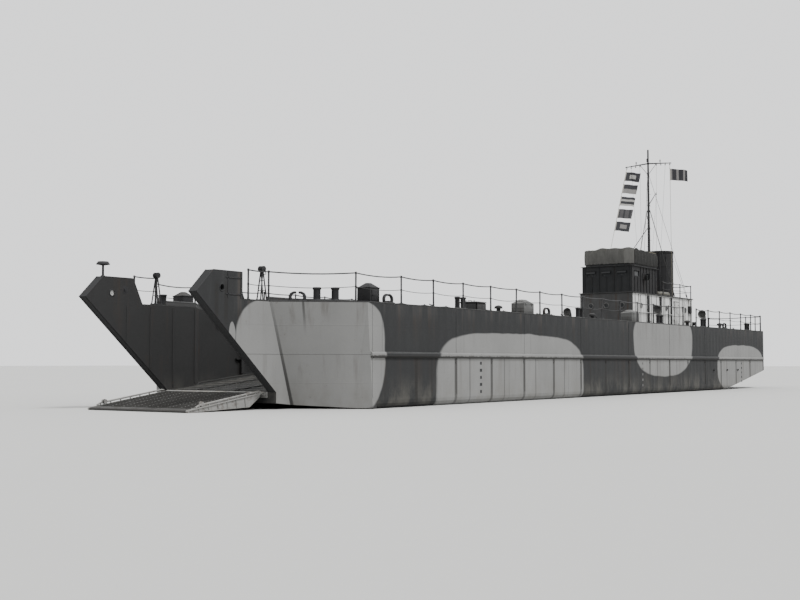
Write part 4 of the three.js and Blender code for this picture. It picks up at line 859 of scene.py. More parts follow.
def rail(path, z, height, sizes, seed):
    """Posts on a path with two slack wires. The posts lean a little, as knocked ones do."""
    chance = random.Random(seed)
    balls = (height * 0.5, height - 0.05)
    shapes = []
    tops = []
    for x, y in path:
        lean = Vector((chance.uniform(-0.012, 0.012), chance.uniform(-0.008, 0.008), 0))
        tilt = Matrix.Translation((x, y, z)) @ tilted(UP + lean)
        shapes += moved([stanchion(height, sizes.rail_post, balls)], tilt)
        tops.append([tilt @ Vector((0, 0, ball)) for ball in balls])
    for (low_a, high_a), (low_b, high_b) in zip(tops, tops[1:]):
        for a, b, thick in ((low_a, low_b, sizes.rail_wire), (high_a, high_b, sizes.rail_rope)):
            sag = sizes.rail_sag * min(1.0, (b - a).length / 2.5) * chance.uniform(0.6, 1.3)
            shapes.append(
                tube([a.lerp(b, t) - UP * (sag * 4 * t * (1 - t)) for t in spread(0, 1, 9)], thick, 6)
            )
    return shapes


def bow_rail_path(s):
    nose = [(LENGTH - 2.75, NOSE_OUTER - 0.05), (LENGTH - 3.9, NOSE_OUTER - 0.05), (LENGTH - 6.2, 5.4)]
    run = [(x, HALF_BEAM - 0.14) for x in spread(LENGTH - 8.88, HOLD_AFT + 1.2, 14)]
    return [(x, s * y) for x, y in nose + run]


def poop_rail_path(s):
    run = [(x, HALF_BEAM - 0.14) for x in spread(HOLD_AFT - 1.1, STERN_CORNER, 7)]
    corner = arc((STERN_CORNER, HALF_BEAM - STERN_CORNER), STERN_CORNER - 0.14, 120, 180, 2)
    return [(x, s * y) for x, y in [*run, *corner, (0.14, 1.3)]]


class CRAFT_OT_rails(bpy.types.Operator):
    """Makes the guard rails of the side decks, the poop and the deckhouse roof"""

    bl_idname = "craft.rails"
    bl_label = "Guard rails"

    def execute(self, context):
        sizes = context.scene.craft_sizes
        for side, s in SIDES:
            shapes = rail(bow_rail_path(s), DECK_Z, 1.15, sizes, 3 + s)
            piece(f"guard_rail_{side}", shapes, "rail", instead_of=[f"side_rail_{side}"])
            shapes = rail(poop_rail_path(s), DECK_Z, 1.15, sizes, 7 + s)
            piece(f"poop_guard_rail_{side}", shapes, "rail", instead_of=[f"poop_rail_{side}"])
        aft, y = HOUSE["aft"] - 0.02, HOUSE["half"] - 0.06
        path = mirrored([(x, y) for x in (WHEELHOUSE["aft"] - 0.9, 9.2, 7.4, aft)])
        path.insert(len(path) // 2, (aft, 0))
        piece(
            "roof_guard_rail", rail(path, ROOF_Z, 1.0, sizes, 11), "rail", instead_of=["roof_rail"],
        )
        return {"FINISHED"}


# Deck fittings, each drawn round the origin and stood on the deck. Both sides are drawn to port.

def bollards(x, y, turn=0.0, apart=0.48, radius=0.11):
    """Twin bitts on a bolted base."""
    rim = radius + 0.027
    post = [
        (0, 0), (radius + 0.03, 0), (radius + 0.015, 0.03), (radius, 0.05), (radius - 0.002, 0.4),
        (radius + 0.008, 0.42), (rim, 0.44), (rim, 0.48), (rim - 0.019, 0.502), (0.04, 0.51), (0, 0.51),
    ]
    long, wide = apart / 2 + radius + 0.07, radius + 0.05
    feet = [(dx, dy, 0.055) for dx in (0.04 - long, 0, long - 0.04) for dy in (0.035 - wide, wide - 0.035)]
    base = block((-long, long), (-wide, wide), (-0.01, 0.055), 0.015, 2)
    posts = [turned(post, (e * apart / 2, 0, 0.05)) for e in (-1, 1)]
    return stood([*posts, base, *bolts(feet)], x, y, turn)


FAIRLEAD_RISE = 0.76
FLARE_TURN = math.atan2(HALF_BEAM - NOSE_OUTER, 3.9 - 6.4)


def fairlead(x, y, turn=0.0):
    """An open lead: two horns that curl over a bolted foot, turned to lie along the deck edge."""
    shapes = [block((-0.34, 0.34), (-0.11, 0.11), (-0.01, 0.065), 0.015, 2)]
    curl = ((0.24, 0.02), (0.27, 0.14), (0.275, 0.26), (0.23, 0.37), (0.14, 0.435), (0.075, 0.44))
    tip = [(0, 0.045), (0.045, 0.03), (0.066, 0), (0.06, -0.02)]
    for e in (-1, 1):
        horn = [(e * px, 0, pz) for px, pz in curl]
        shapes += [tube(horn, 0.066, 14), turned(tip, horn[-1], (-e, 0, 0.1), 14)]
    roll = [(0, -0.085), (0.05, -0.085), (0.062, -0.05), (0.05, 0), (0.062, 0.05), (0.05, 0.085), (0, 0.085)]
    shapes.append(turned(roll, (0, 0, 0.085), ATHWART, 16))
    shapes += bolts([(dx, dy, 0.065) for dx in (-0.29, 0.29) for dy in (-0.08, 0.08)], 0.016)
    return stood(shapes, x, y, turn, FAIRLEAD_RISE)


def mushroom(x, y):
    """A mushroom vent on a bolted foot."""
    body = [
        (0, 0), (0.15, 0), (0.15, 0.02), (0.11, 0.03), (0.1, 0.06), (0.1, 0.28), (0.085, 0.3), (0.085, 0.33),
        (0, 0.33),
    ]
    cap = [
        (0, 0.3), (0.19, 0.285), (0.2, 0.27), (0.2, 0.3), (0.185, 0.36), (0.12, 0.405), (0.03, 0.425),
        (0.025, 0.43), (0, 0.43),
    ]
    return stood([turned(body), turned(cap), *bolts(circle(0.128, 0.02, 6), 0.014, 0.01)], x, y)


def locker(x, y):
    """A steel locker with a hipped lid, hinges and a hasp."""
    lid = block((-0.52, 0.52), (-0.37, 0.37), (0.515, 0.72), 0.0)
    for v in lid.verts:
        if v.co.z > 0.6:
            v.co.x *= 0.38
            v.co.y *= 0.27
    shapes = [
        block((-0.5, 0.5), (-0.35, 0.35), (0, 0.52), 0.015, 2),
        soften(lid, 0.014, 2, 15),
        block((-0.04, 0.04), (-0.375, -0.34), (0.4, 0.56), 0.005),
    ]
    for dx in (-0.3, 0.3):
        shapes.append(rod((dx - 0.07, 0.37, 0.5), (dx + 0.07, 0.37, 0.5), 0.018, sides=10))
        shapes.append(block(about(dx, 0.05), (0.34, 0.365), (0.4, 0.5), 0.004))
    shapes += [block((-0.5, 0.5), (-0.356, 0.356), (z, z + 0.02), 0.004) for z in (0.12, 0.26)]
    return stood(shapes, x, y)


def cleat(x, y):
    """A small horn cleat."""
    horn = [(-0.19, 0, 0.115), (-0.1, 0, 0.095), (0, 0, 0.09), (0.1, 0, 0.095), (0.19, 0, 0.115)]
    legs = [rod((dx, 0, 0.01), (dx, 0, 0.09), 0.022, sides=10) for dx in (-0.05, 0.05)]
    return stood([block((-0.1, 0.1), (-0.05, 0.05), (0, 0.02), 0.006), *legs, tube(horn, 0.022, 10)], x, y)


def ramp_winch():
    """The stand of a hand winch: four legs with ties, two grooved drums and a crank."""
    axle = 1.2
    shapes = [block((-0.24, 0.24), (-0.12, 0.12), (0, 0.05), 0.012, 2)]
    groove = [
        (0, 0.03), (0.118, 0.03), (0.118, 0.045), (0.088, 0.05), (0.088, 0.09), (0.118, 0.095), (0.118, 0.11),
        (0, 0.11),
    ]
    for g in (-1, 1):
        aft, fore = (((e * 0.17, g * 0.09, 0.04), (0, g * 0.045, axle)) for e in (-1, 1))
        shapes += [rod(*aft, 0.026, sides=8), rod(*fore, 0.026, sides=8)]
        shapes += [rod(between(*aft, share), between(*fore, share), 0.014, sides=8) for share in (0.3, 0.62)]
        shapes.append(turned(groove, (0, 0, axle), (0, g, 0), 24))
    crank = [
        (0, 0.115, axle), (-0.05, 0.12, axle - 0.1), (-0.09, 0.12, axle - 0.2), (-0.09, 0.02, axle - 0.21)
    ]
    shapes += [rod((0, -0.12, axle), (0, 0.12, axle), 0.035, sides=12), tube(crank, 0.014, 8)]
    shapes += bolts([(dx, dy, 0.05) for dx in (-0.21, 0.21) for dy in (-0.09, 0.09)], 0.016)
    return stood(shapes, LENGTH - 3.75, 2.81)


def bow_housing():
    """A steel housing with a hipped top, a side door and lap straps."""
    half, eaves = 0.32, 0.624
    body = block((-half, half), (-half, half), (0, 0.8), 0.0)
    geometry = body.verts[:] + body.edges[:] + body.faces[:]
    bmesh.ops.bisect_plane(body, geom=geometry, plane_co=(0, 0, eaves), plane_no=UP)
    for v in body.verts:
        if v.co.z > eaves + 0.05:
            v.co.x *= 0.26
            v.co.y *= 0.26
    hinge, reach = half + 0.012, half + 0.015
    shapes = [
        soften(body, 0.014, 2, 12),
        block((-0.21, 0.21), (half, half + 0.016), (0.08, 0.54), 0.01, 2),
        block((0.12, 0.18), (half, half + 0.04), (0.28, 0.33), 0.006),
        *(rod((-0.21, hinge, z), (-0.21, hinge, z + 0.1), 0.018, sides=10) for z in (0.12, 0.4)),
        *(block((-reach, reach), (-reach, reach), (z, z + 0.04), 0.006) for z in (0, eaves - 0.04)),
    ]
    return stood(shapes, LENGTH - 7.5, 5.05)


SIDE_DECK = [
    (HOLD_AFT + 0.002, HALF_BEAM), (FLARE_X, HALF_BEAM), (LENGTH - 3.9, NOSE_OUTER),
    (LENGTH - 2.41, NOSE_OUTER), (LENGTH - 2.41, NOSE_INNER + 0.1), (LENGTH - 2.92, NOSE_INNER + 0.1),
    (LENGTH - 2.92, NOSE_INNER), (NARROW_X[1], NOSE_INNER), (NARROW_X[0], HOLD_HALF),
    (HOLD_AFT + 0.002, HOLD_HALF),
]
LIP = {"inset": 0.012, "z": DECK_Z - 0.004, "radius": 0.022}


class CRAFT_OT_side_decks(bpy.types.Operator):
    """Makes the side decks with their bollards, leads, vents, lockers and winch stands"""

    bl_idname = "craft.side_decks"
    bl_label = "Side decks"

    def execute(self, context):
        run = ((HOLD_AFT + 0.1, HALF_BEAM), (FLARE_X - 0.01, HALF_BEAM), (LENGTH - 3.92, NOSE_OUTER))
        edge = [(x, y - LIP["inset"], LIP["z"]) for x, y in (*run, (LENGTH - 2.42, NOSE_OUTER))]
        lip = [between(a, b, t) for a, b in zip(edge, edge[1:]) for t in spread(0, 0.98, 7)]
        for side, s in SIDES:
            shapes = [plate(SIDE_DECK, HULL_TOP + 0.001, DECK_Z, soft=0.006), tube(lip, LIP["radius"], 8)]
            nodes = [f"{part}_deck_{side}" for part in ("side", "hatch", "fore", "bow")]
            piece(f"side_deck_plating_{side}", sided(shapes, s), "deck", instead_of=nodes)

            fittings = [
                *(bollards(x, HALF_BEAM - 0.55) for x in (43.0, 31.0, 20.0)),
                bollards(LENGTH - 5.64, 4.4, FLARE_TURN, 0.7, 0.145),
                *(fairlead(x, HALF_BEAM - 0.18) for x in (LENGTH - 8.0, 35.5)),
                fairlead(LENGTH - 4.75, 3.72, FLARE_TURN),
                *(mushroom(x, HOLD_HALF + 0.6) for x in (48.6, 38.0, 27.5)),
                *(cleat(x, HALF_BEAM - 0.36) for x in (45.6, 33.4, 29.2, 22.0)),
                ramp_winch(),
                bow_housing(),
            ]
            piece(f"side_deck_fittings_{side}", sided(sum(fittings, []), s), "fitting")
            lockers = locker(36.9, HALF_BEAM - 0.75) + locker(24.0, HALF_BEAM - 0.75)
            piece(f"deck_lockers_{side}", sided(lockers, s), "light_fitting")
        return {"FINISHED"}


def cowl(x, y):
    """A cowl vent: a pipe that bends forward into a flared mouth with a rolled lip."""
    bend = [*((0, 0, h) for h in (0, 0.3, 0.62, 0.86)), (0.02, 0, 0.97), (0.07, 0, 1.06)]
    mouth = [
        (0, -0.1), (0.165, -0.07), (0.185, 0.02), (0.225, 0.12), (0.28, 0.2), (0.298, 0.215), (0.3, 0.225),
        (0.285, 0.228), (0.21, 0.13), (0.16, 0.02), (0.12, -0.02), (0, -0.03),
    ]
    shapes = [
        tube(bend, 0.165, 24),
        turned(mouth, (0.13, 0, 1.11), (1, 0, 0.06)),
        turned([(0, 0), (0.23, 0), (0.23, 0.025), (0.18, 0.035), (0, 0.035)]),
        ring((0, 0, 0.55), 0.17, 0.014),
    ]
    return stood(shapes + bolts(circle(0.205, 0.025, 8), 0.014, 0.01), x, y)


class CRAFT_OT_poop(bpy.types.Operator):
    """Makes the poop deck with its bollards, leads, vents and stern roller"""

    bl_idname = "craft.poop"
    bl_label = "Poop deck"

    def execute(self, context):
        corner = arc((STERN_CORNER, HALF_BEAM - STERN_CORNER), STERN_CORNER, 90, 180, 14)
        edge = [(HOLD_AFT - 0.1, HALF_BEAM), (9.0, HALF_BEAM), *corner]
        inner = [(x + (0.024 if x < STERN_CORNER else 0), y - LIP["inset"], LIP["z"]) for x, y in edge]
        shapes = [
            plate(mirrored([(HOLD_AFT, HALF_BEAM), *corner]), HULL_TOP + 0.001, DECK_Z, soft=0.006),
            tube(mirrored(inner), LIP["radius"], 8),
        ]
        piece("poop_deck_plating", shapes, "deck", instead_of=["poop_deck"])

        shapes = [block((0.03, 0.25), (-1.06, 1.06), (DECK_Z, DECK_Z + 0.05), 0.01)]
        for _, s in SIDES:
            fittings = [
                *bollards(12.6, HALF_BEAM - 0.5), *bollards(3.0, HALF_BEAM - 0.7),
                *fairlead(9.4, HALF_BEAM - 0.18), *cleat(6.9, HALF_BEAM - 0.4),
                *mushroom(14.4, 4.9), *mushroom(8.2, 4.9),
                block((0.03, 0.25), (0.98, 1.06), (DECK_Z, DECK_Z + 0.3), 0.012, 2),
            ]
            shapes += sided(fittings, s)
        roller = [(0, -1.0), (0.05, -1.0), (0.05, -0.97), (0.085, -0.965), (0.085, -0.94), (0.068, -0.92)]
        roller = both_ends([*roller, (0.062, 0.0)])
        shapes.append(turned(roller, (0.14, 0, DECK_Z + 0.2), ATHWART))
        piece("poop_fittings", shapes, "fitting")
        shapes = [shape for x in (14.9, 6.6) for _, s in SIDES for shape in cowl(x, s * 3.2)]
        piece("cowl_vents", shapes, "light_fitting")
        return {"FINISHED"}


# Hull and hold

def narrowing(x, low, high):
    """0 before low, 1 after high and even between."""
    return min(max((x - low) / (high - low), 0.0), 1.0)


def inner_half(x):
    """Half-width of the hold at x."""
    return HOLD_HALF + (NOSE_INNER - HOLD_HALF) * narrowing(x, *NARROW_X)


def tank_floor(x):
    return TANK_DECK_Z + 0.03 + (SILL_Z - TANK_DECK_Z) * narrowing(x, 47.0, FOOT_X)


def stem_height(x):
    """Height of the raked stem's edge at x."""
    return SILL_Z + (x - FOOT_X) * (TIP_Z - SILL_Z) / (LENGTH - FOOT_X)


class CRAFT_OT_hull(bpy.types.Operator):
    """Paints the hull and adds its draught marks, scuppers, lap straps and discharge pipes"""

    bl_idname = "craft.hull"
    bl_label = "Hull"

    def execute(self, context):
        dress("hull", "hull_bottom", "hull_aft", "hull_side_port", "hull_side_starboard", "bow_port")
        dress("strake", "rubbing_strake_port", "rubbing_strake_starboard")
        y, z, rim = HALF_BEAM, STRAKE_Z - 0.26, HOLD_HALF + 0.07
        pipe = [
            (0, -0.02), (0.085, -0.02), (0.085, 0.012), (0.06, 0.02), (0.06, 0.09), (0.045, 0.09),
            (0.045, 0.01), (0, 0.01),
        ]
        gusset = [
            (rim, DECK_Z), (rim + 0.13, DECK_Z), (rim + 0.02, COAMING_TOP - 0.04), (rim, COAMING_TOP - 0.04)
        ]
        lip = [(x, HOLD_HALF + 0.035, COAMING_TOP) for x in spread(HOLD_AFT + 0.15, NARROW_X[0], 12)]
        lip += [(x, NOSE_INNER + 0.035, COAMING_TOP) for x in (NARROW_X[1], LENGTH - 4.2)]
        for side, s in SIDES:
            shapes = [turned(pipe, (x, y, 1.32), ATHWART, 20) for x in (12.2, 9.6, 7.4)]
            for x in [LENGTH - 12.8 - SCUPPER_PITCH * i for i in range(14)]:
                shapes.append(ring((x, y + 0.004, z), 0.055, 0.016, ATHWART, 20, 8))
                shapes.append(turned(disc(0.045, 0, 0.004), (x, y, z), ATHWART, 16))
            for x in spread(50.3, 13.7, 7):
                for strap in ((0.45, STRAKE_Z - 0.13), (STRAKE_Z + 0.13, HULL_TOP - 0.06)):
                    shapes.append(block(about(x, 0.05), (y - 0.01, y + 0.012), strap, 0.004))
            piece(f"hull_trim_{side}", sided(shapes, s), "hull")
            for name, finish, places in (
                ("dark", "fitting", (LENGTH - 14.9, 6.5)), ("light", "light_fitting", (24.0,))
            ):
                shapes = []
                for row in range(5):
                    wide, foot = 0.095 if row % 2 else 0.07, 0.45 + row * 0.31
                    shapes += [
                        block(about(x, wide), (y, y + 0.006), (foot, foot + 0.13), 0.0) for x in places
                    ]
                piece(f"draught_marks_{name}_{side}", sided(shapes, s), finish)
            shapes = [tube(lip, 0.045, 10)]
            shapes += [plate(gusset, *about(x, 0.006), "x") for x in spread(HOLD_AFT + 0.6, 49.3, 28)]
            for x in spread(HOLD_AFT + 1.2, 48.7, 27):
                shapes.append(tube([(x, rim, 4.18), (x, rim + 0.06, 4.17), (x, rim + 0.08, 4.22)], 0.012, 6))
            piece(f"coaming_trim_{side}", sided(shapes, s), "coaming")
        dress("coaming", "hold_coaming_port", "hold_coaming_starboard", "hold_coaming_aft")
        return {"FINISHED"}


class CRAFT_OT_flare(bpy.types.Operator):
    """Bends the flare's plating, which is flat from corner to corner in the solids"""

    bl_idname = "craft.flare"
    bl_label = "Flare"

    def execute(self, context):
        low_fore, high_fore = (FLARE_X + 1.252, NOSE_OUTER, 0.16), (FLARE_X + 2.502, NOSE_OUTER, 4.068)
        flare = ruled_plate(
            (FLARE_X, 5.205, 0.04), low_fore, (FLARE_X, 5.82, 4.068), high_fore, (-0.04, -0.03, 0.0)
        )
        bmesh.ops.translate(flare, vec=(0.004, 0.004, 0.0), verts=flare.verts)
        piece("flare_plating_port", [flare], "hull")
        shell = copy_of("bow_starboard")
        piece("bow_shell_starboard", shell, "hull", instead_of=["bow_starboard"], crease=20.0)
        return {"FINISHED"}


class CRAFT_OT_hold(bpy.types.Operator):
    """Plates the tank deck and fits out the hold with stringers, pipes, rungs and lashing rings"""

    bl_idname = "craft.hold"
    bl_label = "Hold"

    def execute(self, context):
        dress("tank_deck", "tank_deck")
        wall, foot, ends = HOLD_HALF, TANK_DECK_Z + 0.05, (HOLD_AFT + 2.6, 47.6)
        knee = [(wall - 0.13, foot), (wall - 0.13, 1.75), (wall + 0.01, 1.75), (wall + 0.01, foot)]
        rung = ((-0.2, 0), (-0.2, -0.13), (0.2, -0.13), (0.2, 0))
        for side, s in SIDES:
            shapes = []
            for z in (1.95, 2.75, 3.5):
                shapes.append(block(ends, (wall - 0.1, wall + 0.01), (z, z + 0.02), 0.004))
                shapes.append(block(ends, (wall - 0.1, wall - 0.084), (z - 0.03, z + 0.05), 0.004))
            for x in spread(HOLD_AFT + 2.4, HOLD_AFT + 31.2, 13):
                flange = (wall - 0.155, wall - 0.138)
                shapes.append(block((x - 0.04, x + 0.13), flange, (foot, HULL_TOP - 0.11), 0.004))
                shapes.append(plate(knee, x + 0.03, x + 0.06, "x"))
            for z, radius in ((3.78, 0.045), (3.66, 0.03)):
                y = wall - 0.18 - radius
                shapes.append(tube([(x, y, z) for x in spread(HOLD_AFT + 0.4, 48.9, 16)], radius, 10))
                for x in spread(HOLD_AFT + 3.2, 46, 11):
                    shapes.append(ring((x, y, z), radius + 0.006, 0.014, (1, 0, 0), 14, 6))
            for x in (19.6, 34.2, 46.6):
                for z in spread(1.65, 3.85, 8):
                    shapes.append(tube([(x + dx, wall + dy, z) for dx, dy in rung], 0.014, 6))
            for x in spread(50.0, 55.0, 5):
                low = 0.08 + (tank_floor(x) if x < FOOT_X else stem_height(x))
                y = inner_half(x)
                shapes.append(block(about(x, 0.035), (y - 0.016, y), (low, HULL_TOP - 0.05), 0.006))
            piece(f"hold_framing_{side}", sided(shapes, s), "hold")
        shapes = []
        loop = (
            (0, -0.05, 0.04), (0.03, -0.04, 0.075), (0.05, 0, 0.085), (0.03, 0.04, 0.075), (0, 0.05, 0.04)
        )
        for y in (-2.9, -1.0, 1.0, 2.9):
            for x in spread(HOLD_AFT + 1.6, 46.4, 18):
                shapes.append(tube([(x + dx, y + dy, tank_floor(x) + dz) for dx, dy, dz in loop], 0.012, 6))
        for x in spread(47.4, 52.5, 9):
            z = tank_floor(x)
            shapes.append(block(about(x, 0.03), (-2.35, 2.35), (z - 0.01, z + 0.028), 0.005))
        piece("lashing_rings", shapes, "light_fitting")
        return {"FINISHED"}


SHEAVE_EYE = {"x": LENGTH - 1.3, "z": 4.47}


class CRAFT_OT_bow(bpy.types.Operator):
    """Adds the bow's stem bars, horn rims, sheaves and the post on the starboard horn"""

    bl_idname = "craft.bow"
    bl_label = "Bow"

    def execute(self, context):
        middle, face = (NOSE_INNER + NOSE_OUTER) / 2, (NOSE_OUTER, NOSE_OUTER + 0.02)
        eye_x, eye_z = SHEAVE_EYE.values()
        stem = [(x, stem_height(x) + 0.004) for x in spread(FOOT_X + 0.25, LENGTH - 0.03, 14)]
        cap = [(LENGTH - 0.03, TIP_Z + 0.01), (LENGTH - 0.85, HORN_Z - 0.01), (LENGTH - 2.36, HORN_Z - 0.01)]
        bars = [(stem, 0.13, 0.024), (stem, -0.13, 0.024), (cap, 0.185, 0.022), (cap, -0.185, 0.022)]
        boss = [(0, 0), (0.16, 0), (0.16, 0.015), (0.05, 0.02), (0.05, 0.05), (0, 0.05)]
        post = [
            (0, 0), (0.09, 0), (0.09, 0.03), (0.045, 0.06), (0.042, 0.43), (0.2, 0.45), (0.262, 0.465),
            (0.262, 0.49), (0.19, 0.58), (0, 0.584),
        ]
        wheel = [(0, 0.02), (0.03, 0.02), (0.035, 0), (0.085, 0), (0.1, 0.014), (0.1, -0.02), (0, -0.02)]
        for side, s in SIDES:
            shapes = [
                *(ring((eye_x, y, eye_z), 0.125, 0.022, ATHWART, 24, 8) for y in (NOSE_INNER, NOSE_OUTER)),
                *(tube([(x, middle + dy, z) for x, z in path], radius, 8) for path, dy, radius in bars),
                turned(boss, (LENGTH - 1.95, NOSE_INNER + 0.012, 4.62), (0, -1, 0)),
                *(block((LENGTH - 2.32, LENGTH - 1.5), face, about(z, 0.025), 0.006) for z in (4.25, 4.85)),
                *(block(about(LENGTH - x, 0.025), face, (4.12, 5.05), 0.006) for x in (2.3, 1.62)),
            ]
            if s < 0:
                shapes.append(turned(post, (LENGTH - 1.0, middle, HORN_Z)))
            piece(f"bow_trim_{side}", sided(shapes, s), "fitting")
            sheave_face = turned(wheel, (eye_x, NOSE_INNER + 0.03, eye_z), (0, -1, 0), 24)
            piece(f"horn_sheave_{side}", sided([sheave_face], s), "house_trim")
        return {"FINISHED"}


# Ramp, drawn level with its hinge pin at the origin, then lowered to the ground

RAMP_PIN = Vector((FOOT_X + 0.12, 0, 0.6))
RAMP_HALF = 2.6
RAMP_LENGTH = 4.1
RAMP_LUGS = (-2.1, -0.7, 0.7, 2.1)
TOE = {"x": RAMP_LENGTH - 0.03, "z": 0.01, "radius": 0.05}
RAMP_LOWERED = math.asin((RAMP_PIN.z + TOE["z"] - TOE["radius"] - 0.002) / TOE["x"])


class CRAFT_OT_ramp(bpy.types.Operator):
    """Makes the bow ramp with its girders, treads, kerbs, toe and lifting eyes, and its hinge"""

    bl_idname = "craft.ramp"
    bl_label = "Ramp"

    def execute(self, context):
        half, inner, foot = RAMP_HALF, RAMP_HALF - 0.2, RAMP_LENGTH - 0.08
        edges = [-half, *(e for y in RAMP_LUGS for e in about(y, 0.086)), half]
        shapes = [block((0.12, RAMP_LENGTH - 0.04), (-half, half), (0.02, 0.058), 0.006)]
        for low, high in zip(edges[::2], edges[1::2]):
            shapes.append(turned(barrel(0.0358, 0.074, low, high, 0.008), axis=ATHWART, sides=24))
            shapes.append(block((0.03, 0.15), (low, high), (-0.025, 0.058), 0.006))
        for y, depth in ((0.05 - half, 0.37), (-1.25, 0.3), (0, 0.3), (1.25, 0.3), (half - 0.05, 0.37)):
            low = [(0.3, -0.075), (0.9, 0.015 - depth), (foot, -0.03)]
            shapes.append(plate([(0.16, 0.02), *low, (foot, 0.02)], *about(y, 0.012), "y"))
            for (xa, za), (xb, zb) in zip(low, low[1:]):
                middle = Matrix.Translation(((xa + xb) / 2, y, (za + zb) / 2 - 0.006))
                flange = block(
                    about(0, math.hypot(xb - xa, zb - za) / 2), (-0.05, 0.05), (-0.008, 0.008), 0.004
                )
                shapes += moved([flange], middle @ Matrix.Rotation(-math.atan2(zb - za, xb - xa), 4, "Y"))
            for x in spread(1.1, foot - 0.5, 6):
                deep = 0.02 - depth * (foot - x) / (foot - 0.9)
                shapes.append(block(about(x, 0.006), about(y, 0.045), (deep, 0.02), 0.0))
        shapes += [
            block(about(x, 0.01), about(0, half - 0.06), (-0.045, 0.02), 0.003) for x in spread(0.7, 3.7, 6)
        ]
        toe = both_ends([(0, -half), (TOE["radius"] - 0.005, -half), (TOE["radius"], 0.006 - half)])
        shapes.append(turned(toe, (TOE["x"], 0, TOE["z"]), ATHWART, 20))
        kerb = [(x, half - 0.036, z) for x, z in ((0.2, 0.1), (0.3, 0.135), (3.5, 0.135), (3.68, 0.08))]
        for _, s in SIDES:
            edge = [
                tube(kerb, 0.034, 12),
                *(
                    block(about(x, 0.02), (half - 0.06, half - 0.012), (0.05, 0.13), 0.004)
                    for x in spread(0.5, 3.5, 7)
                ),
                turned(disc(0.088, -0.075, 0.075), (3.35, half - 0.085, 0.16), ATHWART, 20),
                ring((3.35, half - 0.085, 0.19), 0.058, 0.012, (1, 0, 0), 16, 8),
            ]
            shapes += sided(edge, s)
        lower = Matrix.Translation(RAMP_PIN) @ Matrix.Rotation(RAMP_LOWERED, 4, "Y")
        piece("ramp_frame", moved(shapes, lower), "ramp", "bow_ramp", instead_of=["ramp"])

        treads = [block((x, x + 0.035), (-inner, inner), (0.055, 0.084), 0.006) for x in spread(0.3, 3.7, 21)]
        treads += [
            block((0.28, 3.75), about(y, 0.018), (0.055, 0.07), 0.004) for y in spread(-inner, inner, 9)
        ]
        piece("ramp_treads", moved(treads, lower), "ramp", "bow_ramp")

        x, _, z = RAMP_PIN
        shapes = [
            block((FOOT_X + 0.001, FOOT_X + 0.03), about(0, NOSE_INNER - 0.02), (z - 0.16, z + 0.06), 0.005),
            rod((x, -half, z), (x, half, z), 0.0345, sides=24),
        ]
        for y in RAMP_LUGS:
            shapes.append(rod((x, y - 0.07, z), (x, y + 0.07, z), 0.075, sides=24, soft=0.006))
            shapes.append(block((FOOT_X + 0.01, x), about(y, 0.07), (z - 0.07, z + 0.05), 0.006))
            points = [(FOOT_X + 0.03, y + dy, z + dz) for dy in (-0.16, 0.16) for dz in (-0.12, 0.02)]
            shapes += bolts(points, 0.02, axis=(1, 0, 0))
        piece("ramp_hinge_fittings", shapes, "ramp", instead_of=["ramp_hinge"])
        return {"FINISHED"}


# Hatches

HATCHES = (
    ("fore_hatch_port", "port_fore_hatch_lid", 41.0, 4.75, 0.42),
    ("fore_hatch_starboard", "starboard_fore_hatch_lid", 41.0, -4.75, 0.42),
    ("engine_hatch", "engine_hatch_cover", 4.1, -3.2, 0.5),
)


class CRAFT_OT_hatches(bpy.types.Operator):
    """Makes the deck hatches: coamings with clips and hinged lids"""

    bl_idname = "craft.hatches"
    bl_label = "Hatches"

    def execute(self, context):
        top, wall = 0.36, 0.05
        low = top + 0.014
        grip = ((-0.1, 0.05), (-0.1, 0.09), (-0.08, 0.11), (0.08, 0.11), (0.1, 0.09), (0.1, 0.05))
        clip = [
            (0, 0), (0.03, 0), (0.03, 0.02), (0.014, 0.024), (0.014, 0.05), (0.035, 0.055), (0.035, 0.07),
            (0, 0.07),
        ]
        for name, body, x, y, half in HATCHES:
            shapes = hoop([(a * (half + 0.04), b * (half + 0.04), 0.012) for a, b in SQUARE], 0.014)
            wide, rise = (-half, half), (0.001, top)
            for thin in ((half - wall, half), (-half, wall - half)):
                shapes += [block(thin, wide, rise, 0.01, 2), block(wide, thin, rise, 0.01, 2)]
            hinges = [(-half - 0.07, share * half, top + 0.05) for share in (-0.55, 0.55)]
            for px, py, pz in hinges:
                shapes.append(rod((px, py - 0.113, pz), (px, py + 0.113, pz), 0.0155, sides=12))
                for dy in (-0.104, 0.104):
                    shapes.append(rod((px, py + dy, pz), (px + 0.088, py + dy, pz - 0.084), 0.024, sides=10))
            piece(f"{name}_ring", stood(shapes, x, y), "coaming", instead_of=[f"{name}_coaming"])

            shapes = [
                block((0.03 - half, half + 0.04), about(0, half + 0.04), (low, low + 0.06), 0.014, 3),
                block(
                    (0.12 - half, half - 0.05), about(0, half - 0.06), (low + 0.055, low + 0.072), 0.012, 2
                ),
                tube([(half - 0.1, py, low + pz) for py, pz in grip], 0.016, 10),
                *(turned(clip, (half - 0.12, py, low + 0.06), sides=16) for py in about(0, half / 2)),
            ]
            for px, py, pz in hinges:
                shapes.append(turned(barrel(0.0168, 0.036, -0.07, 0.07), (px, py, pz), ATHWART, 16))
                shapes.append(block((px + 0.02, px + 0.3), about(py, 0.05), (pz, pz + 0.04), 0.006))
                shapes += bolts([(px + d, py, pz + 0.04) for d in (0.16, 0.25)], 0.015, 0.01)
            piece(
                f"{name}_cover", stood(shapes, x, y), "coaming", body, instead_of=[f"{name}_lid"]
            )
        return {"FINISHED"}


# Superstructure

DOOR = {"width": 0.72, "height": 1.72, "sill": 0.22, "lap": 0.05}
WHEEL_DOOR_HEIGHT = 1.4
PORTS_X = (6.6, 10.2, 12.4, 14.6)
PORT_RADIUS = 0.19


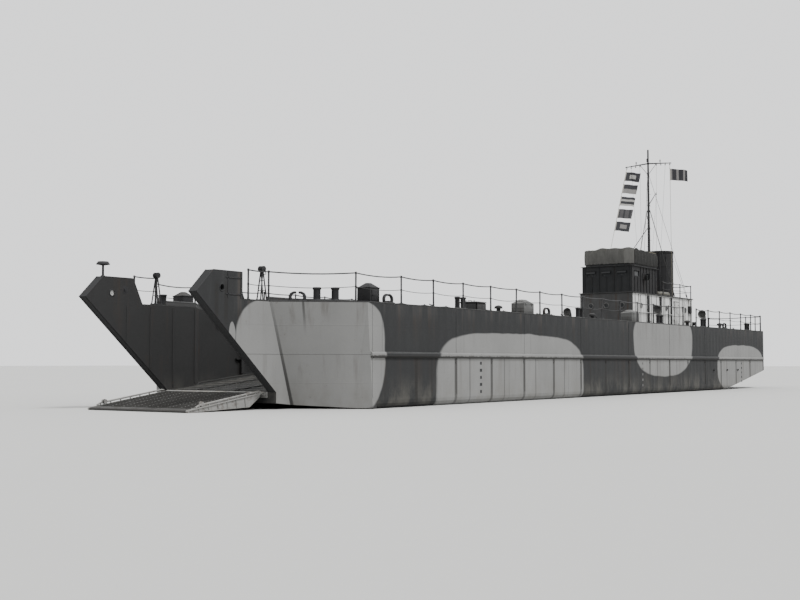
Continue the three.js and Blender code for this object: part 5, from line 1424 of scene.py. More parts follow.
def door(height):
    """A steel door with pressed panels, dogs, hinges and a lever, drawn on the port side."""
    w, lap, lever = DOOR["width"], DOOR["lap"], height / 2 - 0.1
    dog = [(0, 0), (0.028, 0), (0.028, 0.018), (0.014, 0.022), (0.014, 0.05), (0, 0.05)]
    shapes = [
        block((-w - lap, lap), (0.012, 0.058), (-lap, height + lap), 0.012, 3),
        tube([(0.08 - w, 0.05, lever), (0.08 - w, 0.12, lever), (0.3 - w, 0.125, lever)], 0.014, 8),
    ]
    for low, high in ((0.08, height * 0.46), (height * 0.54, height - 0.08)):
        shapes.append(block((0.08 - w, -0.1), (0.05, 0.07), (low, high), 0.012, 2))
    for z in (height * 0.25, height * 0.75):
        shapes.append(turned(barrel(0.0168, 0.036, -0.06, 0.06), (0.09, 0.06, z), sides=16))
        shapes.append(block((-0.4, 0.065), (0.045, 0.08), about(z, 0.035), 0.006))
        shapes += bolts([(x, 0.08, z) for x in (-0.34, -0.2, -0.06)], 0.014, 0.01, ATHWART)
    for z in (height * 0.12, height * 0.5, height * 0.88):
        shapes.append(turned(dog, (0.04 - w, 0.05, z), ATHWART, 16))
        shapes.append(
            tube([(0.04 - w, 0.09, z), (0.1 - w, 0.1, z + 0.01), (0.19 - w, 0.1, z + 0.03)], 0.013, 8)
        )
    return shapes


def aft_facing(x, y, z):
    return Matrix.Translation((x, y, z)) @ Matrix.Rotation(math.pi / 2, 4, "Z")


def port_light(place, axis):
    """A round port: its rim, storm ring and clips."""
    r = PORT_RADIUS
    rim_profile = [
        (r * 0.72, 0.002), (r, 0.002), (r, 0.03), (r * 0.92, 0.042), (r * 0.8, 0.04), (r * 0.72, 0.024),
        (r * 0.72, 0.002),
    ]
    across = Vector(axis).cross(UP).normalized()
    face = Vector(place) + Vector(axis) * 0.034
    points = [face + (across * math.cos(a) + UP * math.sin(a)) * (r * 0.9) for a in turns(6)]
    return [turned(rim_profile, place, axis, 24), *bolts(points, 0.012, 0.01, axis)]


def port_glass(place, axis):
    return turned(disc(PORT_RADIUS * 0.74, 0.004, 0.014), place, axis, 24)


def wall_points():
    """Ports on the deckhouse: place and the way each looks."""
    ports = [((x, s * HOUSE["half"], 5.55), (0, s, 0)) for x in PORTS_X for s in (1, -1)]
    ports += [((HOUSE["aft"], y, 5.6), (-1, 0, 0)) for y in (-0.1, -1.0)]
    return ports + [((HOUSE["fore"], y, 5.55), (1, 0, 0)) for y in SIGHTS_Y]


class CRAFT_OT_deckhouse(bpy.types.Operator):
    """Fits out the deckhouse: stiffeners, ports, doors, gutters, pipes, lamps, roof and ladder"""

    bl_idname = "craft.deckhouse"
    bl_label = "Deckhouse"

    def execute(self, context):
        dress("house", "deckhouse_walls")
        half, aft, fore, top = (HOUSE[name] for name in ("half", "aft", "fore", "top"))
        sill, hand = DECK_Z + DOOR["sill"], half + 0.09
        lamp = [(0, 0), (0.07, 0), (0.07, 0.03), (0.055, 0.05), (0.055, 0.12), (0.03, 0.15), (0, 0.155)]
        pipe = [(aft + 0.3, half + 0.05, z) for z in (DECK_Z + 0.05, 4.8, 5.4, top - 0.08)]
        trim = [
            block((7.84, 8.88), (half, half + 0.1), (6.07, 6.09), 0.006),
            block((aft - 0.1, aft), (0.52, 1.48), (6.07, 6.09), 0.006),
        ]
        trunks = []
        for z in (sill + DOOR["height"] * 0.25, sill + DOOR["height"] * 0.75):
            trim.append(rod((8.81, half + 0.06, z - 0.1), (8.81, half + 0.06, z + 0.1), 0.0155, sides=12))
        for _, s in SIDES:
            shapes = [
                block((aft, fore), (half, half + 0.03), (DECK_Z, DECK_Z + 0.06), 0.008),
                block((aft, fore), (half, half + 0.04), (top - 0.06, top - 0.01), 0.008),
                tube([(x, hand, 5.12) for x in spread(9.1, fore - 0.3, 12)], 0.017, 8),
                *(
                    rod((x, half, 5.12), (x, hand, 5.12), 0.013, sides=8)
                    for x in spread(9.15, fore - 0.35, 7)
                ),
                tube(pipe, 0.032, 12),
                *(ring((aft + 0.3, half + 0.05, z), 0.034, 0.01, UP, 14, 6) for z in (4.6, 5.9)),
                *(rod((x, half, DECK_Z), (x, half, top - 0.01), 0.03, sides=12) for x in (aft, fore)),
                turned(lamp, (7.2 if s > 0 else 9.0, half + 0.02, 5.75), ATHWART, 16),
            ]
            for x in spread(aft + 0.62, fore - 0.4, 17):
                if s > 0 and 7.8 < x < 8.95:
                    continue
                if any(abs(x - port) < 0.24 for port in PORTS_X):
                    x += 0.3
                shapes.append(block(about(x, 0.03), (half, half + 0.035), (DECK_Z + 0.06, top - 0.05), 0.006))
            trim += sided(shapes, s)
            shapes = [block((5.62, 6.06), (half, half + 0.14), (5.35, 5.85), 0.012, 2)]
            for z in spread(5.4, 5.77, 6):
                shapes.append(block((5.65, 6.03), (half + 0.13, half + 0.165), (z, z + 0.03), 0.004))
            for x, wide in ((9.35, 0.05), (11.3, 0.11), (13.5, 0.08)):
                shapes.append(
                    block(about(x, wide), (half, half + 0.1), (DECK_Z + 0.01, top - 0.06), 0.012, 2)
                )
                for z in (4.5, 5.3, 6.1):
                    shapes.append(block(about(x, wide + 0.04), (half, half + 0.045), (z, z + 0.05), 0.006))
            trunks += sided(shapes, s)
        piece("deckhouse_trim", trim, "house_trim")
        piece("deckhouse_trunks", trunks, "fitting")
        rims = [shape for port in wall_points() for shape in port_light(*port)]
        piece("deckhouse_port_rims", rims, "light_fitting")
        piece("deckhouse_port_glass", [port_glass(*port) for port in wall_points()], "glass")

        for side, place in (
            ("port", Matrix.Translation((8.72, half, sill))), ("aft", aft_facing(aft, 1.36, sill))
        ):
            leaf = moved(door(DOOR["height"]), place)
            nodes = [f"house_door_{side}"]
            piece(
                f"{side}_door_leaf", leaf, "house_trim", f"{side}_house_door", instead_of=nodes
            )

        edge = mirrored([(aft - 0.12, half + 0.1), (fore + 0.06, half + 0.1)])
        gutter = [(x + (0.03 if x < 10 else -0.03), y * 0.985, ROOF_Z + 0.012) for x, y in edge]
        shapes = [plate(edge, top, ROOF_Z, soft=0.008, steps=2), *hoop(gutter, 0.02)]
        piece("deckhouse_roof_plating", shapes, "deck", instead_of=["deckhouse_roof"])

        ladder("bridge_rungs", "bridge_ladder", 11.24, 1.1, ROOF_Z, WHEELHOUSE["aft"])
        ladder("house_rungs", "house_ladder", 5.0, -1.2, DECK_Z, aft)
        return {"FINISHED"}


def ladder(name, node, x, y, low, wall):
    """An upright ladder with stays to a wall and round rungs."""
    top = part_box(node)[1].z / MODEL_SCALE
    shapes = []
    for dy in (-0.2, 0.2):
        shapes.append(block(about(x, 0.022), about(y + dy, 0.009), (low + 0.002, top), 0.005))
        shapes += [
            block((x, wall), about(y + dy, 0.006), about(z, 0.02), 0.003) for z in (low + 0.4, top - 0.25)
        ]
    z = low + 0.25
    while z < top - 0.05:
        shapes.append(rod((x, y - 0.2, z), (x, y + 0.2, z), 0.015, sides=10))
        z += 0.3
    piece(name, shapes, "rail", instead_of=[node])


class CRAFT_OT_wheelhouse(bpy.types.Operator):
    """Fits out the wheelhouse: stiffeners, sight slits with shutters, lamp boxes and its door"""

    bl_idname = "craft.wheelhouse"
    bl_label = "Wheelhouse"

    def execute(self, context):
        dress("bridge", "wheelhouse_walls", "bridge_screen")
        aft, fore, half = (WHEELHOUSE[name] for name in ("aft", "fore", "half"))
        low, top = ROOF_Z, BRIDGE_Z - 0.03
        slit, box = (low + 1.11, low + 1.43), (fore - 2.5, fore - 1.9)
        lamp = [
            (0, 0), (0.085, 0), (0.085, 0.02), (0.065, 0.03), (0.065, 0.2), (0.085, 0.21), (0.07, 0.25),
            (0.03, 0.28), (0, 0.28),
        ]
        trim = []
        panes = [block((fore - 0.05, fore - 0.035), about(y, 0.3), slit, 0.0) for y in SIGHTS_Y]
        for _, s in SIDES:
            shapes = [
                block((aft, fore), (half, half + 0.03), (low, low + 0.05), 0.008),
                block((fore - 1.36, fore - 0.54), (half, half + 0.06), (low + 1.44, low + 1.47), 0.006),
                block(
                    (fore - 1.33, fore - 0.57), (half + 0.01, half + 0.03), (low + 1.42, low + 1.47), 0.004
                ),
                block(box, (half, half + 0.02), (low + 0.95, low + 1.35), 0.006),
                block((box[0], box[0] + 0.02), (half, half + 0.3), (low + 0.95, low + 1.35), 0.006),
                block(box, (half, half + 0.3), (low + 0.93, low + 0.95), 0.006),
                turned(lamp, (box[0] + 0.18, half + 0.14, low + 0.95), sides=18),
                *(rod((x, half, low), (x, half, top), 0.026, sides=12) for x in (aft, fore)),
            ]
            for x in spread(aft + 0.3, fore - 0.1, 9):
                high = low + 1.06 if fore - 1.36 < x < fore - 0.54 else top - 0.04
                shapes.append(block(about(x, 0.025), (half, half + 0.035), (low + 0.02, high), 0.006))
            trim += sided(shapes, s)
            panes += sided([block((fore - 1.3, fore - 0.6), (half - 0.05, half - 0.035), slit, 0.0)], s)
        for y in spread(0.15 - half, half - 0.15, 7):
            high = low + (1.06 if any(abs(y - sight) < 0.36 for sight in SIGHTS_Y) else 1.7)
            trim.append(block((fore, fore + 0.035), about(y, 0.025), (low + 0.02, high), 0.006))
        for y in SIGHTS_Y:
            trim.append(block((fore, fore + 0.07), about(y, 0.34), (low + 1.44, low + 1.47), 0.006))
            tilt = Matrix.Rotation(math.radians(-38), 4, "Y")
            tilt = Matrix.Translation((fore + 0.03, y, low + 1.44)) @ tilt
            trim += moved([block((-0.008, 0.008), (-0.31, 0.31), (-0.2, 0.0), 0.005)], tilt)
            for py in about(y, 0.25):
                trim.append(rod((fore, py, low + 1.45), (fore + 0.05, py, low + 1.45), 0.016, sides=10))
        piece("wheelhouse_trim", trim, "bridge")
        piece("wheelhouse_panes", panes, "glass")
        leaf = moved(door(WHEEL_DOOR_HEIGHT), aft_facing(aft, -0.24, ROOF_Z + 0.12))
        nodes = ["wheelhouse_door"]
        piece("wheelhouse_door_leaf", leaf, "bridge", "aft_wheelhouse_door", instead_of=nodes)
        return {"FINISHED"}


def screen_outline(grow=0.0):
    """The bridge screen's outer plan, from its after port corner forward and round."""
    aft, fore, half = WHEELHOUSE["aft"], WHEELHOUSE["fore"] + grow, WHEELHOUSE["half"] + grow
    return mirrored([(aft, half), (fore - 0.5, half), (fore, half - 0.5)])


def along(path, pitch):
    """Points at a pitch along a path, each with the way that the path runs there."""
    points = []
    for a, b in zip(path, path[1:]):
        a, b = Vector(a), Vector(b)
        count = max(2, round((b - a).length / pitch))
        points += [(a.lerp(b, i / count), (b - a).normalized()) for i in range(count)]
    return [*points, (b, (b - a).normalized())]


def weather_cloth(path, low, high, slope=0.0):
    """Laced canvas outside the bridge screen, pulled in at its lacing and slack between."""
    points = along(path, 0.075)
    grid = []
    for i, (point, run) in enumerate(points):
        out = Vector((run.y, -run.x))
        if out.dot(point - Vector((13.7, 0))) < 0:
            out = -out
        fall = slope * i / len(points)
        lacing = math.cos(i * math.tau / 4)
        column = []
        for share in spread(0, 1, 15):
            belly = math.sin(math.pi * share) * (0.03 + 0.012 * math.sin(i * 0.9))
            pucker = 0.012 * lacing * (2 * share - 1) ** 2
            ragged = 0.06 * math.sin(i * 0.37) * math.sin(i * 0.113 + 1.0) + 0.05 * math.sin(i * 0.081)
            drop = 0.014 * lacing * (1 - share) + fall * share
            place = point + out * (belly + pucker)
            column.append((place.x, place.y, low + (high - low) * share + ragged * share * share - drop))
        grid.append(column)
    return woven(grid)


def hang_cloth(name, path, finish, slope=0.0):
    low, high = BRIDGE_Z + 0.12, SCREEN_TOP + 0.06
    cloth = piece(name, [weather_cloth(path, low, high, slope)], finish)
    thicken(cloth, 0.004)


def mesh_area(made):
    return sum(p.area for p in made.data.polygons)


def thicken(made, thick):
    solid = made.modifiers.new("thickness", "SOLIDIFY")
    solid.thickness = thick
    solid.offset = 0.0
    smooth = made.modifiers.new("smooth", "SUBSURF")
    smooth.levels = smooth.render_levels = 1


BINNACLE_X = 14.7


class CRAFT_OT_bridge(bpy.types.Operator):
    """Makes the open bridge: its deck, binnacle, chart hood, signal lamp, voice pipes and canvas dodger"""

    bl_idname = "craft.bridge"
    bl_label = "Open bridge"

    def execute(self, context):
        x, z = BINNACLE_X, BRIDGE_Z
        aft, fore, half = WHEELHOUSE["aft"] - 0.1, WHEELHOUSE["fore"] + 0.1, WHEELHOUSE["half"] + 0.1
        shapes = [plate(mirrored([(aft, half), (fore, half)]), z - 0.03, z, soft=0.008, steps=2)]
        piece("bridge_deck_plating", shapes, "deck", instead_of=["bridge_deck"])
        slats = []
        for start, reach, count, clear in ((12.0, 1.45, 22, 0.68), (13.35, 0.6, 9, 0.24)):
            for y in spread(-reach, reach, count):
                if abs(y) > clear:
                    slats.append(block((start, 15.3), about(y, 0.045), (z, z + 0.035), 0.006))
        piece("bridge_grating", slats, "wood")

        post = [
            (0, 0), (0.22, 0), (0.22, 0.04), (0.2, 0.06), (0.145, 0.1), (0.13, 0.16), (0.125, 0.78),
            (0.14, 0.82), (0.2, 0.88), (0.205, 0.96), (0.19, 1.0), (0.175, 1.07), (0.13, 1.14), (0.06, 1.185),
            (0.02, 1.19), (0, 1.19),
        ]
        ball = both_ends([(0, -0.085), (0.05, -0.07), (0.082, -0.03)])
        shapes = [turned(post, (x, 0, z))]
        for _, s in SIDES:
            shapes.append(turned(ball, (x, s * 0.25, z + 0.9)))
            shapes.append(rod((x, s * 0.19, z + 0.9), (x, s * 0.25, z + 0.9), 0.02, sides=10))
        trumpet = [(0.028, -0.02), (0.035, 0.03), (0.07, 0.09), (0.074, 0.1), (0.06, 0.1), (0, 0.05)]
        for y in (-1.2, -0.95, 1.2):
            pipe = [(15.3, y, z), (15.3, y, z + 0.5), (15.28, y, z + 0.72), (15.2, y, z + 0.84)]
            shapes += [tube(pipe, 0.03, 12), turned(trumpet, pipe[-1], (-0.55, 0, 0.83), 20)]
        stand = [(0, 0), (0.1, 0), (0.1, 0.02), (0.035, 0.04), (0.032, 0.9), (0, 0.9)]
        lamp = [
            (0, -0.14), (0.07, -0.13), (0.135, -0.09), (0.15, -0.05), (0.15, 0.1), (0.16, 0.105),
            (0.16, 0.125), (0.13, 0.125), (0.12, 0.09), (0, 0.09),
        ]
        yoke = [(d, -d, h) for d, h in ((0.12, 1.05), (0.1, 0.93), (0, 0.88), (-0.1, 0.93), (-0.12, 1.05))]
        signal = [
            turned(stand, sides=18), turned(lamp, (0, 0, 1.05), (0.7, 0.7, 0.1), 24), tube(yoke, 0.014, 8)
        ]
        shapes += moved(signal, Matrix.Translation((12.9, 1.15, z)))
        piece("bridge_instruments", shapes, "fitting")
        shapes = [rod((x, 0, z + 1.02), (x + 0.13, 0, z + 1.1), 0.05), ring((x, 0, z + 0.98), 0.198, 0.012)]
        piece("binnacle_brass", shapes, "bronze")

        hood = [(0.6, z), *arc((0, z + 0.72), 0.6, 0, 180, 16), (-0.6, z)]
        shapes = [plate(hood, 12.1, 13.18, "x", 0.02, 2)]
        for bow_x in (12.12, 12.64, 13.16):
            bow = [(0.615, z), *arc((0, z + 0.72), 0.612, 0, 180, 20), (-0.615, z)]
            shapes.append(tube([(bow_x, *point) for point in bow], 0.016, 8))
        piece("chart_hood", shapes, "canvas")

        outline = screen_outline(0.045)
        shifted = [(px - 0.03, py) for px, py in outline]
        hang_cloth("bridge_dodger", outline[1:-1], "canvas")
        hang_cloth("bridge_side_cloth_port", shifted[1::-1], "dark_canvas", 0.16)
        hang_cloth("bridge_side_cloth_starboard", shifted[-2:], "dark_canvas", 0.16)
        top = [(px, py, SCREEN_TOP + 0.012) for px, py in screen_outline(-0.03)]
        shapes = [
            tube([between(a, b, t) for a, b in zip(top, top[1:]) for t in spread(0.02, 0.98, 8)], 0.024)
        ]
        for point, run in along(screen_outline(0.05), 0.3)[1:-1]:
            loop = [
                (*point, SCREEN_TOP - 0.06), (*point, SCREEN_TOP + 0.03),
                (*(point + run * 0.03), SCREEN_TOP + 0.045),
            ]
            shapes.append(tube(loop, 0.008, 6))
        piece("dodger_lacing", shapes, "rope")
        return {"FINISHED"}


class CRAFT_OT_funnel(bpy.types.Operator):
    """Makes the funnel with its bands, pipes, rungs, eyes and wire guys"""

    bl_idname = "craft.funnel"
    bl_label = "Funnel"

    def execute(self, context):
        x, r, top = FUNNEL["x"], FUNNEL["radius"], FUNNEL["top"]
        base = ROOF_Z + 0.002
        profile = [
            (0, base), (r + 0.08, base), (r + 0.08, base + 0.05), (r + 0.02, base + 0.09), (r, base + 0.12)
        ]
        for z in (base + (top - base) * 0.34, base + (top - base) * 0.68):
            profile += [(r, z - 0.03), (r + 0.012, z - 0.025), (r + 0.012, z + 0.025), (r, z + 0.03)]
        profile += [(r, top - 0.18), (r + 0.03, top - 0.15), (r + 0.035, top - 0.13), (r + 0.035, top - 0.02)]
        profile += [
            (r + 0.02, top), (r - 0.045, top), (r - 0.06, top - 0.02), (r - 0.06, top - 0.45), (0, top - 0.45)
        ]
        pipe = [
            (0, -0.5), (0.17, -0.5), (0.17, -0.12), (0.16, -0.1), (0.135, -0.1), (0.13, -0.12), (0.13, -0.3),
            (0, -0.3),
        ]
        aft, steam = x - r - 0.1, x + r + 0.07
        shapes = [
            turned(profile, (x, 0, 0), sides=56),
            *(turned(pipe, (x, y, top)) for y in (-0.36, 0.36)),
            tube([(steam, 0.32, z) for z in (base, base + 1.0, top - 0.5, top - 0.05)], 0.045, 14),
        ]
        for z in (base + 0.5, base + 1.6, base + 2.7):
            shapes.append(block((x + r - 0.05, x + r + 0.1), (0.25, 0.39), about(z, 0.02), 0.006))
        for z in [base + 0.35 + i * 0.33 for i in range(9)]:
            rung = mirrored([(aft + 0.13, 0.14, z), (aft, 0.14, z)])
            shapes.append(tube(rung, 0.013, 8))
        for a in (math.pi / 4, -math.pi / 4, 3 * math.pi / 4, -3 * math.pi / 4):
            px, py = x + (r + 0.006) * math.cos(a), (r + 0.006) * math.sin(a)
            shapes.append(rod((px, py, base + 0.1), (px, py, top - 0.15), 0.008, sides=6))
        guys = []
        for a, foot in ((0.8, (7.7, 1.5)), (2.35, (5.5, 1.6)), (-0.8, (7.7, -1.5)), (-2.35, (5.5, -1.6))):
            eye = (x + (r + 0.05) * math.cos(a), (r + 0.05) * math.sin(a))
            shapes.append(ring((*eye, top - 0.5), 0.035, 0.01, (math.sin(a), -math.cos(a), 0), 14, 6))
            guys += wire((*eye, top - 0.53), (*foot, ROOF_Z + 0.03), 0.011)
        piece("funnel_casing", shapes, "funnel", instead_of=["funnel"])
        piece("funnel_guys", guys, "wire")
        return {"FINISHED"}


def wire(head, foot, radius):
    """A taut wire with an eye and a bottle screw at its foot."""
    head, foot = Vector(head), Vector(foot)
    run = (head - foot).normalized()
    side = run.cross(Vector(ATHWART)).normalized()
    screw = [
        (0, 0.06), (0.014, 0.06), (0.014, 0.1), (0.026, 0.12), (0.026, 0.3), (0.014, 0.32), (0.014, 0.36),
        (0, 0.36),
    ]
    return [
        rod(foot + run * 0.1, head, radius, sides=8),
        ring(foot + run * 0.02, 0.028, 0.009, side, 14, 6),
        turned(screw, foot, run, 12),
    ]


STAYS = (
    ("stay_fore", (MAST["x"] + 0.13, 0, 11.4), (WHEELHOUSE["aft"] + 0.04, -0.2, SCREEN_TOP + 0.1)),
    ("stay_port", (MAST["x"], 0.11, 12.6), (7.9, HOUSE["half"] - 0.25, ROOF_Z + 0.1)),
    ("stay_starboard", (MAST["x"], -0.11, 12.6), (7.9, -HOUSE["half"] + 0.25, ROOF_Z + 0.1)),
)
MAST_BASE = ROOF_Z + 0.002
ARM_DROP = 0.12


def mast_radius(z):
    return MAST["foot"] + (MAST["head"] - MAST["foot"]) * (z - MAST_BASE) / (MAST["top"] - MAST_BASE)


class CRAFT_OT_mast(bpy.types.Operator):
    """Makes the mast with its yard, gaff, rungs, lamps and stays"""

    bl_idname = "craft.mast"
    bl_label = "Mast"

    def execute(self, context):
        x, top, base, yard, arm = MAST["x"], MAST["top"], MAST_BASE, YARD["z"], YARD["half"]
        profile = [
            (r, base + h)
            for r, h in ((0, 0), (0.3, 0), (0.3, 0.04), (0.285, 0.05), (0.19, 0.12), (0.16, 0.28))
        ]
        profile.append((mast_radius(base + 0.3), base + 0.3))
        for z in (11.35, 12.6, 13.0, 15.2, yard):
            r = mast_radius(z)
            profile += [(r, z - 0.07), (r + 0.014, z - 0.06), (r + 0.014, z + 0.06), (r, z + 0.07)]
        profile += [(MAST["head"], top - 0.02), (MAST["head"] * 0.6, top), (0, top)]
        cap = [(0, -0.02), (0.038, -0.02), (0.038, 0.02), (0, 0.03)]
        lamp = [
            (0, 0), (0.075, 0), (0.075, 0.015), (0.055, 0.025), (0.055, 0.17), (0.075, 0.18), (0.06, 0.21),
            (0.02, 0.235), (0, 0.235),
        ]
        arm_lamp = [
            (0, 0), (0.05, 0), (0.05, 0.02), (0.038, 0.03), (0.038, 0.1), (0.05, 0.11), (0.02, 0.14),
            (0, 0.14),
        ]
        path = [(x, arm * t, yard - ARM_DROP * t) for t in spread(0, 1, 5)]
        shapes = [
            turned(profile, (x, 0, 0), sides=24),
            rod((x, 0, 13.0), (x - 1.5, 0, 14.1), 0.035, 0.022, sides=14),
            *sheave((x - 1.47, 0, 13.98)),
        ]
        for _, s in SIDES:
            half_yard = [
                turned(cap, path[-1], (0, 1, -0.07), 14),
                rod((x, 0.06, yard - 0.75), (x, 0.62, yard - 0.05), 0.018, sides=10),
                rod((x, 0.9, yard - 0.05), (x, 0.9, yard + 0.1), 0.018, sides=10),
                turned(arm_lamp, (x, 0.9, yard + 0.06), sides=16),
            ]
            for i, ends in enumerate(zip(path, path[1:])):
                half_yard.append(rod(*ends, 0.05 - 0.005 * i, 0.045 - 0.005 * i, sides=14))
            for y in (0.62, 0.95, 1.28, arm - 0.08):
                z = yard - ARM_DROP * y / arm
                half_yard += [ring((x, y, z), 0.052, 0.009, ATHWART, 16, 6), *sheave((x, y, z - 0.11))]
            shapes += sided(half_yard, s)
        for z in (top - 0.9, 12.0):
            shapes.append(turned(lamp, (x + 0.16, 0, z), sides=18))
            shapes.append(block((x + 0.04, x + 0.2), (-0.03, 0.03), (z - 0.015, z + 0.002), 0.004))
        for i, z in enumerate(spread(7.2, 15.0, 20)):
            side, r = (1, -1)[i % 2], mast_radius(z)
            y = side * (r + 0.09)
            shapes.append(
                tube([(x, side * r * 0.8, z), (x - 0.02, y, z), (x - 0.02, y, z + 0.025)], 0.009, 6)
            )
        piece("signal_mast", shapes, "mast", instead_of=["mast"])
        shoe = [(0, 0), (0.05, 0), (0.05, 0.012), (0.02, 0.02), (0.02, 0.075), (0, 0.08)]
        for name, head, foot in STAYS:
            shapes = wire(head, foot, context.scene.craft_sizes.stay_wire)
            shapes.append(turned(shoe, Vector(foot) - UP * 0.098, sides=14))
            shapes.append(ring(head, 0.03, 0.01, ATHWART, 14, 6))
            piece(f"{name}_wire", shapes, "wire", instead_of=[name])
        shapes = [rod((x - 1.47, 0, 13.9), (x - 0.14, 0.02, 7.4), 0.007, sides=6)]
        for _, s in SIDES:
            shapes += wire((x, s * 0.05, 15.2), (5.75, s * (HOUSE["half"] - 0.12), ROOF_Z + 0.05), 0.012)
            for y in (0.62, 1.28):
                shapes.append(
                    rod((x, s * y, yard - 0.2), (x + 0.02, s * (0.35 + y * 0.3), 7.5), 0.007, sides=6)
                )
        piece("running_rigging", shapes, "wire")
        return {"FINISHED"}


def sheave(place):
    """A small halyard block hung from an eye."""
    shell = both_ends([(0, -0.028), (0.035, -0.028), (0.042, -0.018)])
    eye = Vector(place)
    return [turned(shell, place, (1, 0, 0), 16), rod(eye + UP * 0.03, eye + UP * 0.07, 0.009, sides=8)]


FLAG = {"width": 1.15, "depth": 0.68, "pitch": 1.03, "first": 0.35}
STREAM = Vector((-1, 1, 0)).normalized()
GREYS = {
    "pale": (0.27, 0.265, 0.25), "dark": (0.03, 0.03, 0.033), "mid": (0.16, 0.155, 0.15),
    "deep": (0.06, 0.058, 0.06),
}
HOISTS = (
    # node, side, how much larger, foot of the halyard, each flag's ground, device and pattern
    ("signal_flags", -1, 1.0, (WHEELHOUSE["aft"] + 0.1, -WHEELHOUSE["half"] + 0.03, SCREEN_TOP + 0.002),
     (("dark", "pale", "border"), ("mid", "dark", "halves"), ("dark", "pale", "stripes"),
      ("deep", "dark", "bars"), ("dark", "mid", "border"))),
    ("yardarm_flag", 1, 1.2, (8.0, HOUSE["half"] - 0.4, ROOF_Z + 0.002), (("dark", "mid", "bars"),)),
)


def flag_cloth(corner, run, width, depth, wave, seed):
    """A sheet hoisted along its halyard, which streams from it in waves that grow toward the fly."""
    chance = random.Random(seed)
    phase, droop = chance.uniform(0, math.tau), chance.uniform(0.04, 0.09)
    columns, rows, waves = 37, 17, math.tau / 0.62
    across = STREAM.cross(UP)
    down = run / abs(run.z)
    grid, out = [], 0.0
    for i, u in enumerate(spread(0, 1, columns)):
        if i:
            lean = wave * u * waves / width * math.cos(phase + u * waves)
            out += width / (columns - 1) / math.hypot(1, lean)
        column = []
        for v in spread(0, 1, rows):
            sway = wave * u * math.sin(phase + u * waves + v * 0.7)
            fall = droop * u * u + 0.012 * u * math.sin(v * 9 + phase) - 0.02 * u * math.sin(phase + u * 8)
            column.append(corner + STREAM * out + across * sway + down * (depth * v + fall))
        grid.append(column)
    shape = woven(grid)
    layer = shape.loops.layers.uv.new("flag")
    shape.verts.index_update()
    for face in shape.faces:
        for loop in face.loops:
            j, i = divmod(loop.vert.index, columns)
            loop[layer].uv = (i / (columns - 1), 1 - j / (rows - 1))
    bmesh.ops.reverse_faces(shape, faces=shape.faces)
    return shape


class CRAFT_OT_flags(bpy.types.Operator):
    """Makes the hoist of signal flags and the single flag, streaming aft to port, with their halyards"""

    bl_idname = "craft.flags"
    bl_label = "Signal flags"

    def execute(self, context):
        sizes = context.scene.craft_sizes
        shoe = [(0, 0), (0.05, 0), (0.05, 0.012), (0.022, 0.02), (0.022, 0.07), (0, 0.08)]
        toggle = [(0, -0.04), (0.018, -0.03), (0.026, 0), (0.018, 0.03), (0, 0.04)]
        for node, s, grow, foot, flags in HOISTS:
            head = Vector((MAST["x"], s * (YARD["half"] - 0.08), YARD["z"] - 0.16))
            end = Vector(foot) + UP * 0.08
            run = (end - head).normalized()
            shapes = [rod(head, end, sizes.halyard, sides=8), turned(shoe, foot, sides=14)]
            width, depth = FLAG["width"] * grow, FLAG["depth"] * grow
            cloths = []
            for i, (ground, device, pattern) in enumerate(flags):
                corner = head + run * (FLAG["first"] + i * FLAG["pitch"])
                for reach in (0.0, depth / abs(run.z)):
                    shapes.append(turned(toggle, corner + run * reach, run, 10))
                name = f"{ground}_{device}_{pattern}"
                if name not in COATS:
                    COATS[name] = bunting_finish(f"bunting_{name}", GREYS[ground], GREYS[device], pattern)
                cloths.append((flag_cloth(corner, run, width, depth, sizes.flag_wave, 20 + i + s), name))
            halyard = piece(f"{node}_halyard", shapes, "rope", instead_of=[node])
            deep = depth * MODEL_SCALE
            for i, (cloth, name) in enumerate(cloths):
                made = piece(f"{node}_cloth_{i + 1}", [cloth], name)
                area = mesh_area(made)
                thicken(made, 0.0012)
                area / deep
        return {"FINISHED"}


RAFT = {"x": 9.6, "y": 1.05, "half": 0.45, "bend": 0.49, "float": ROOF_Z + 0.165}


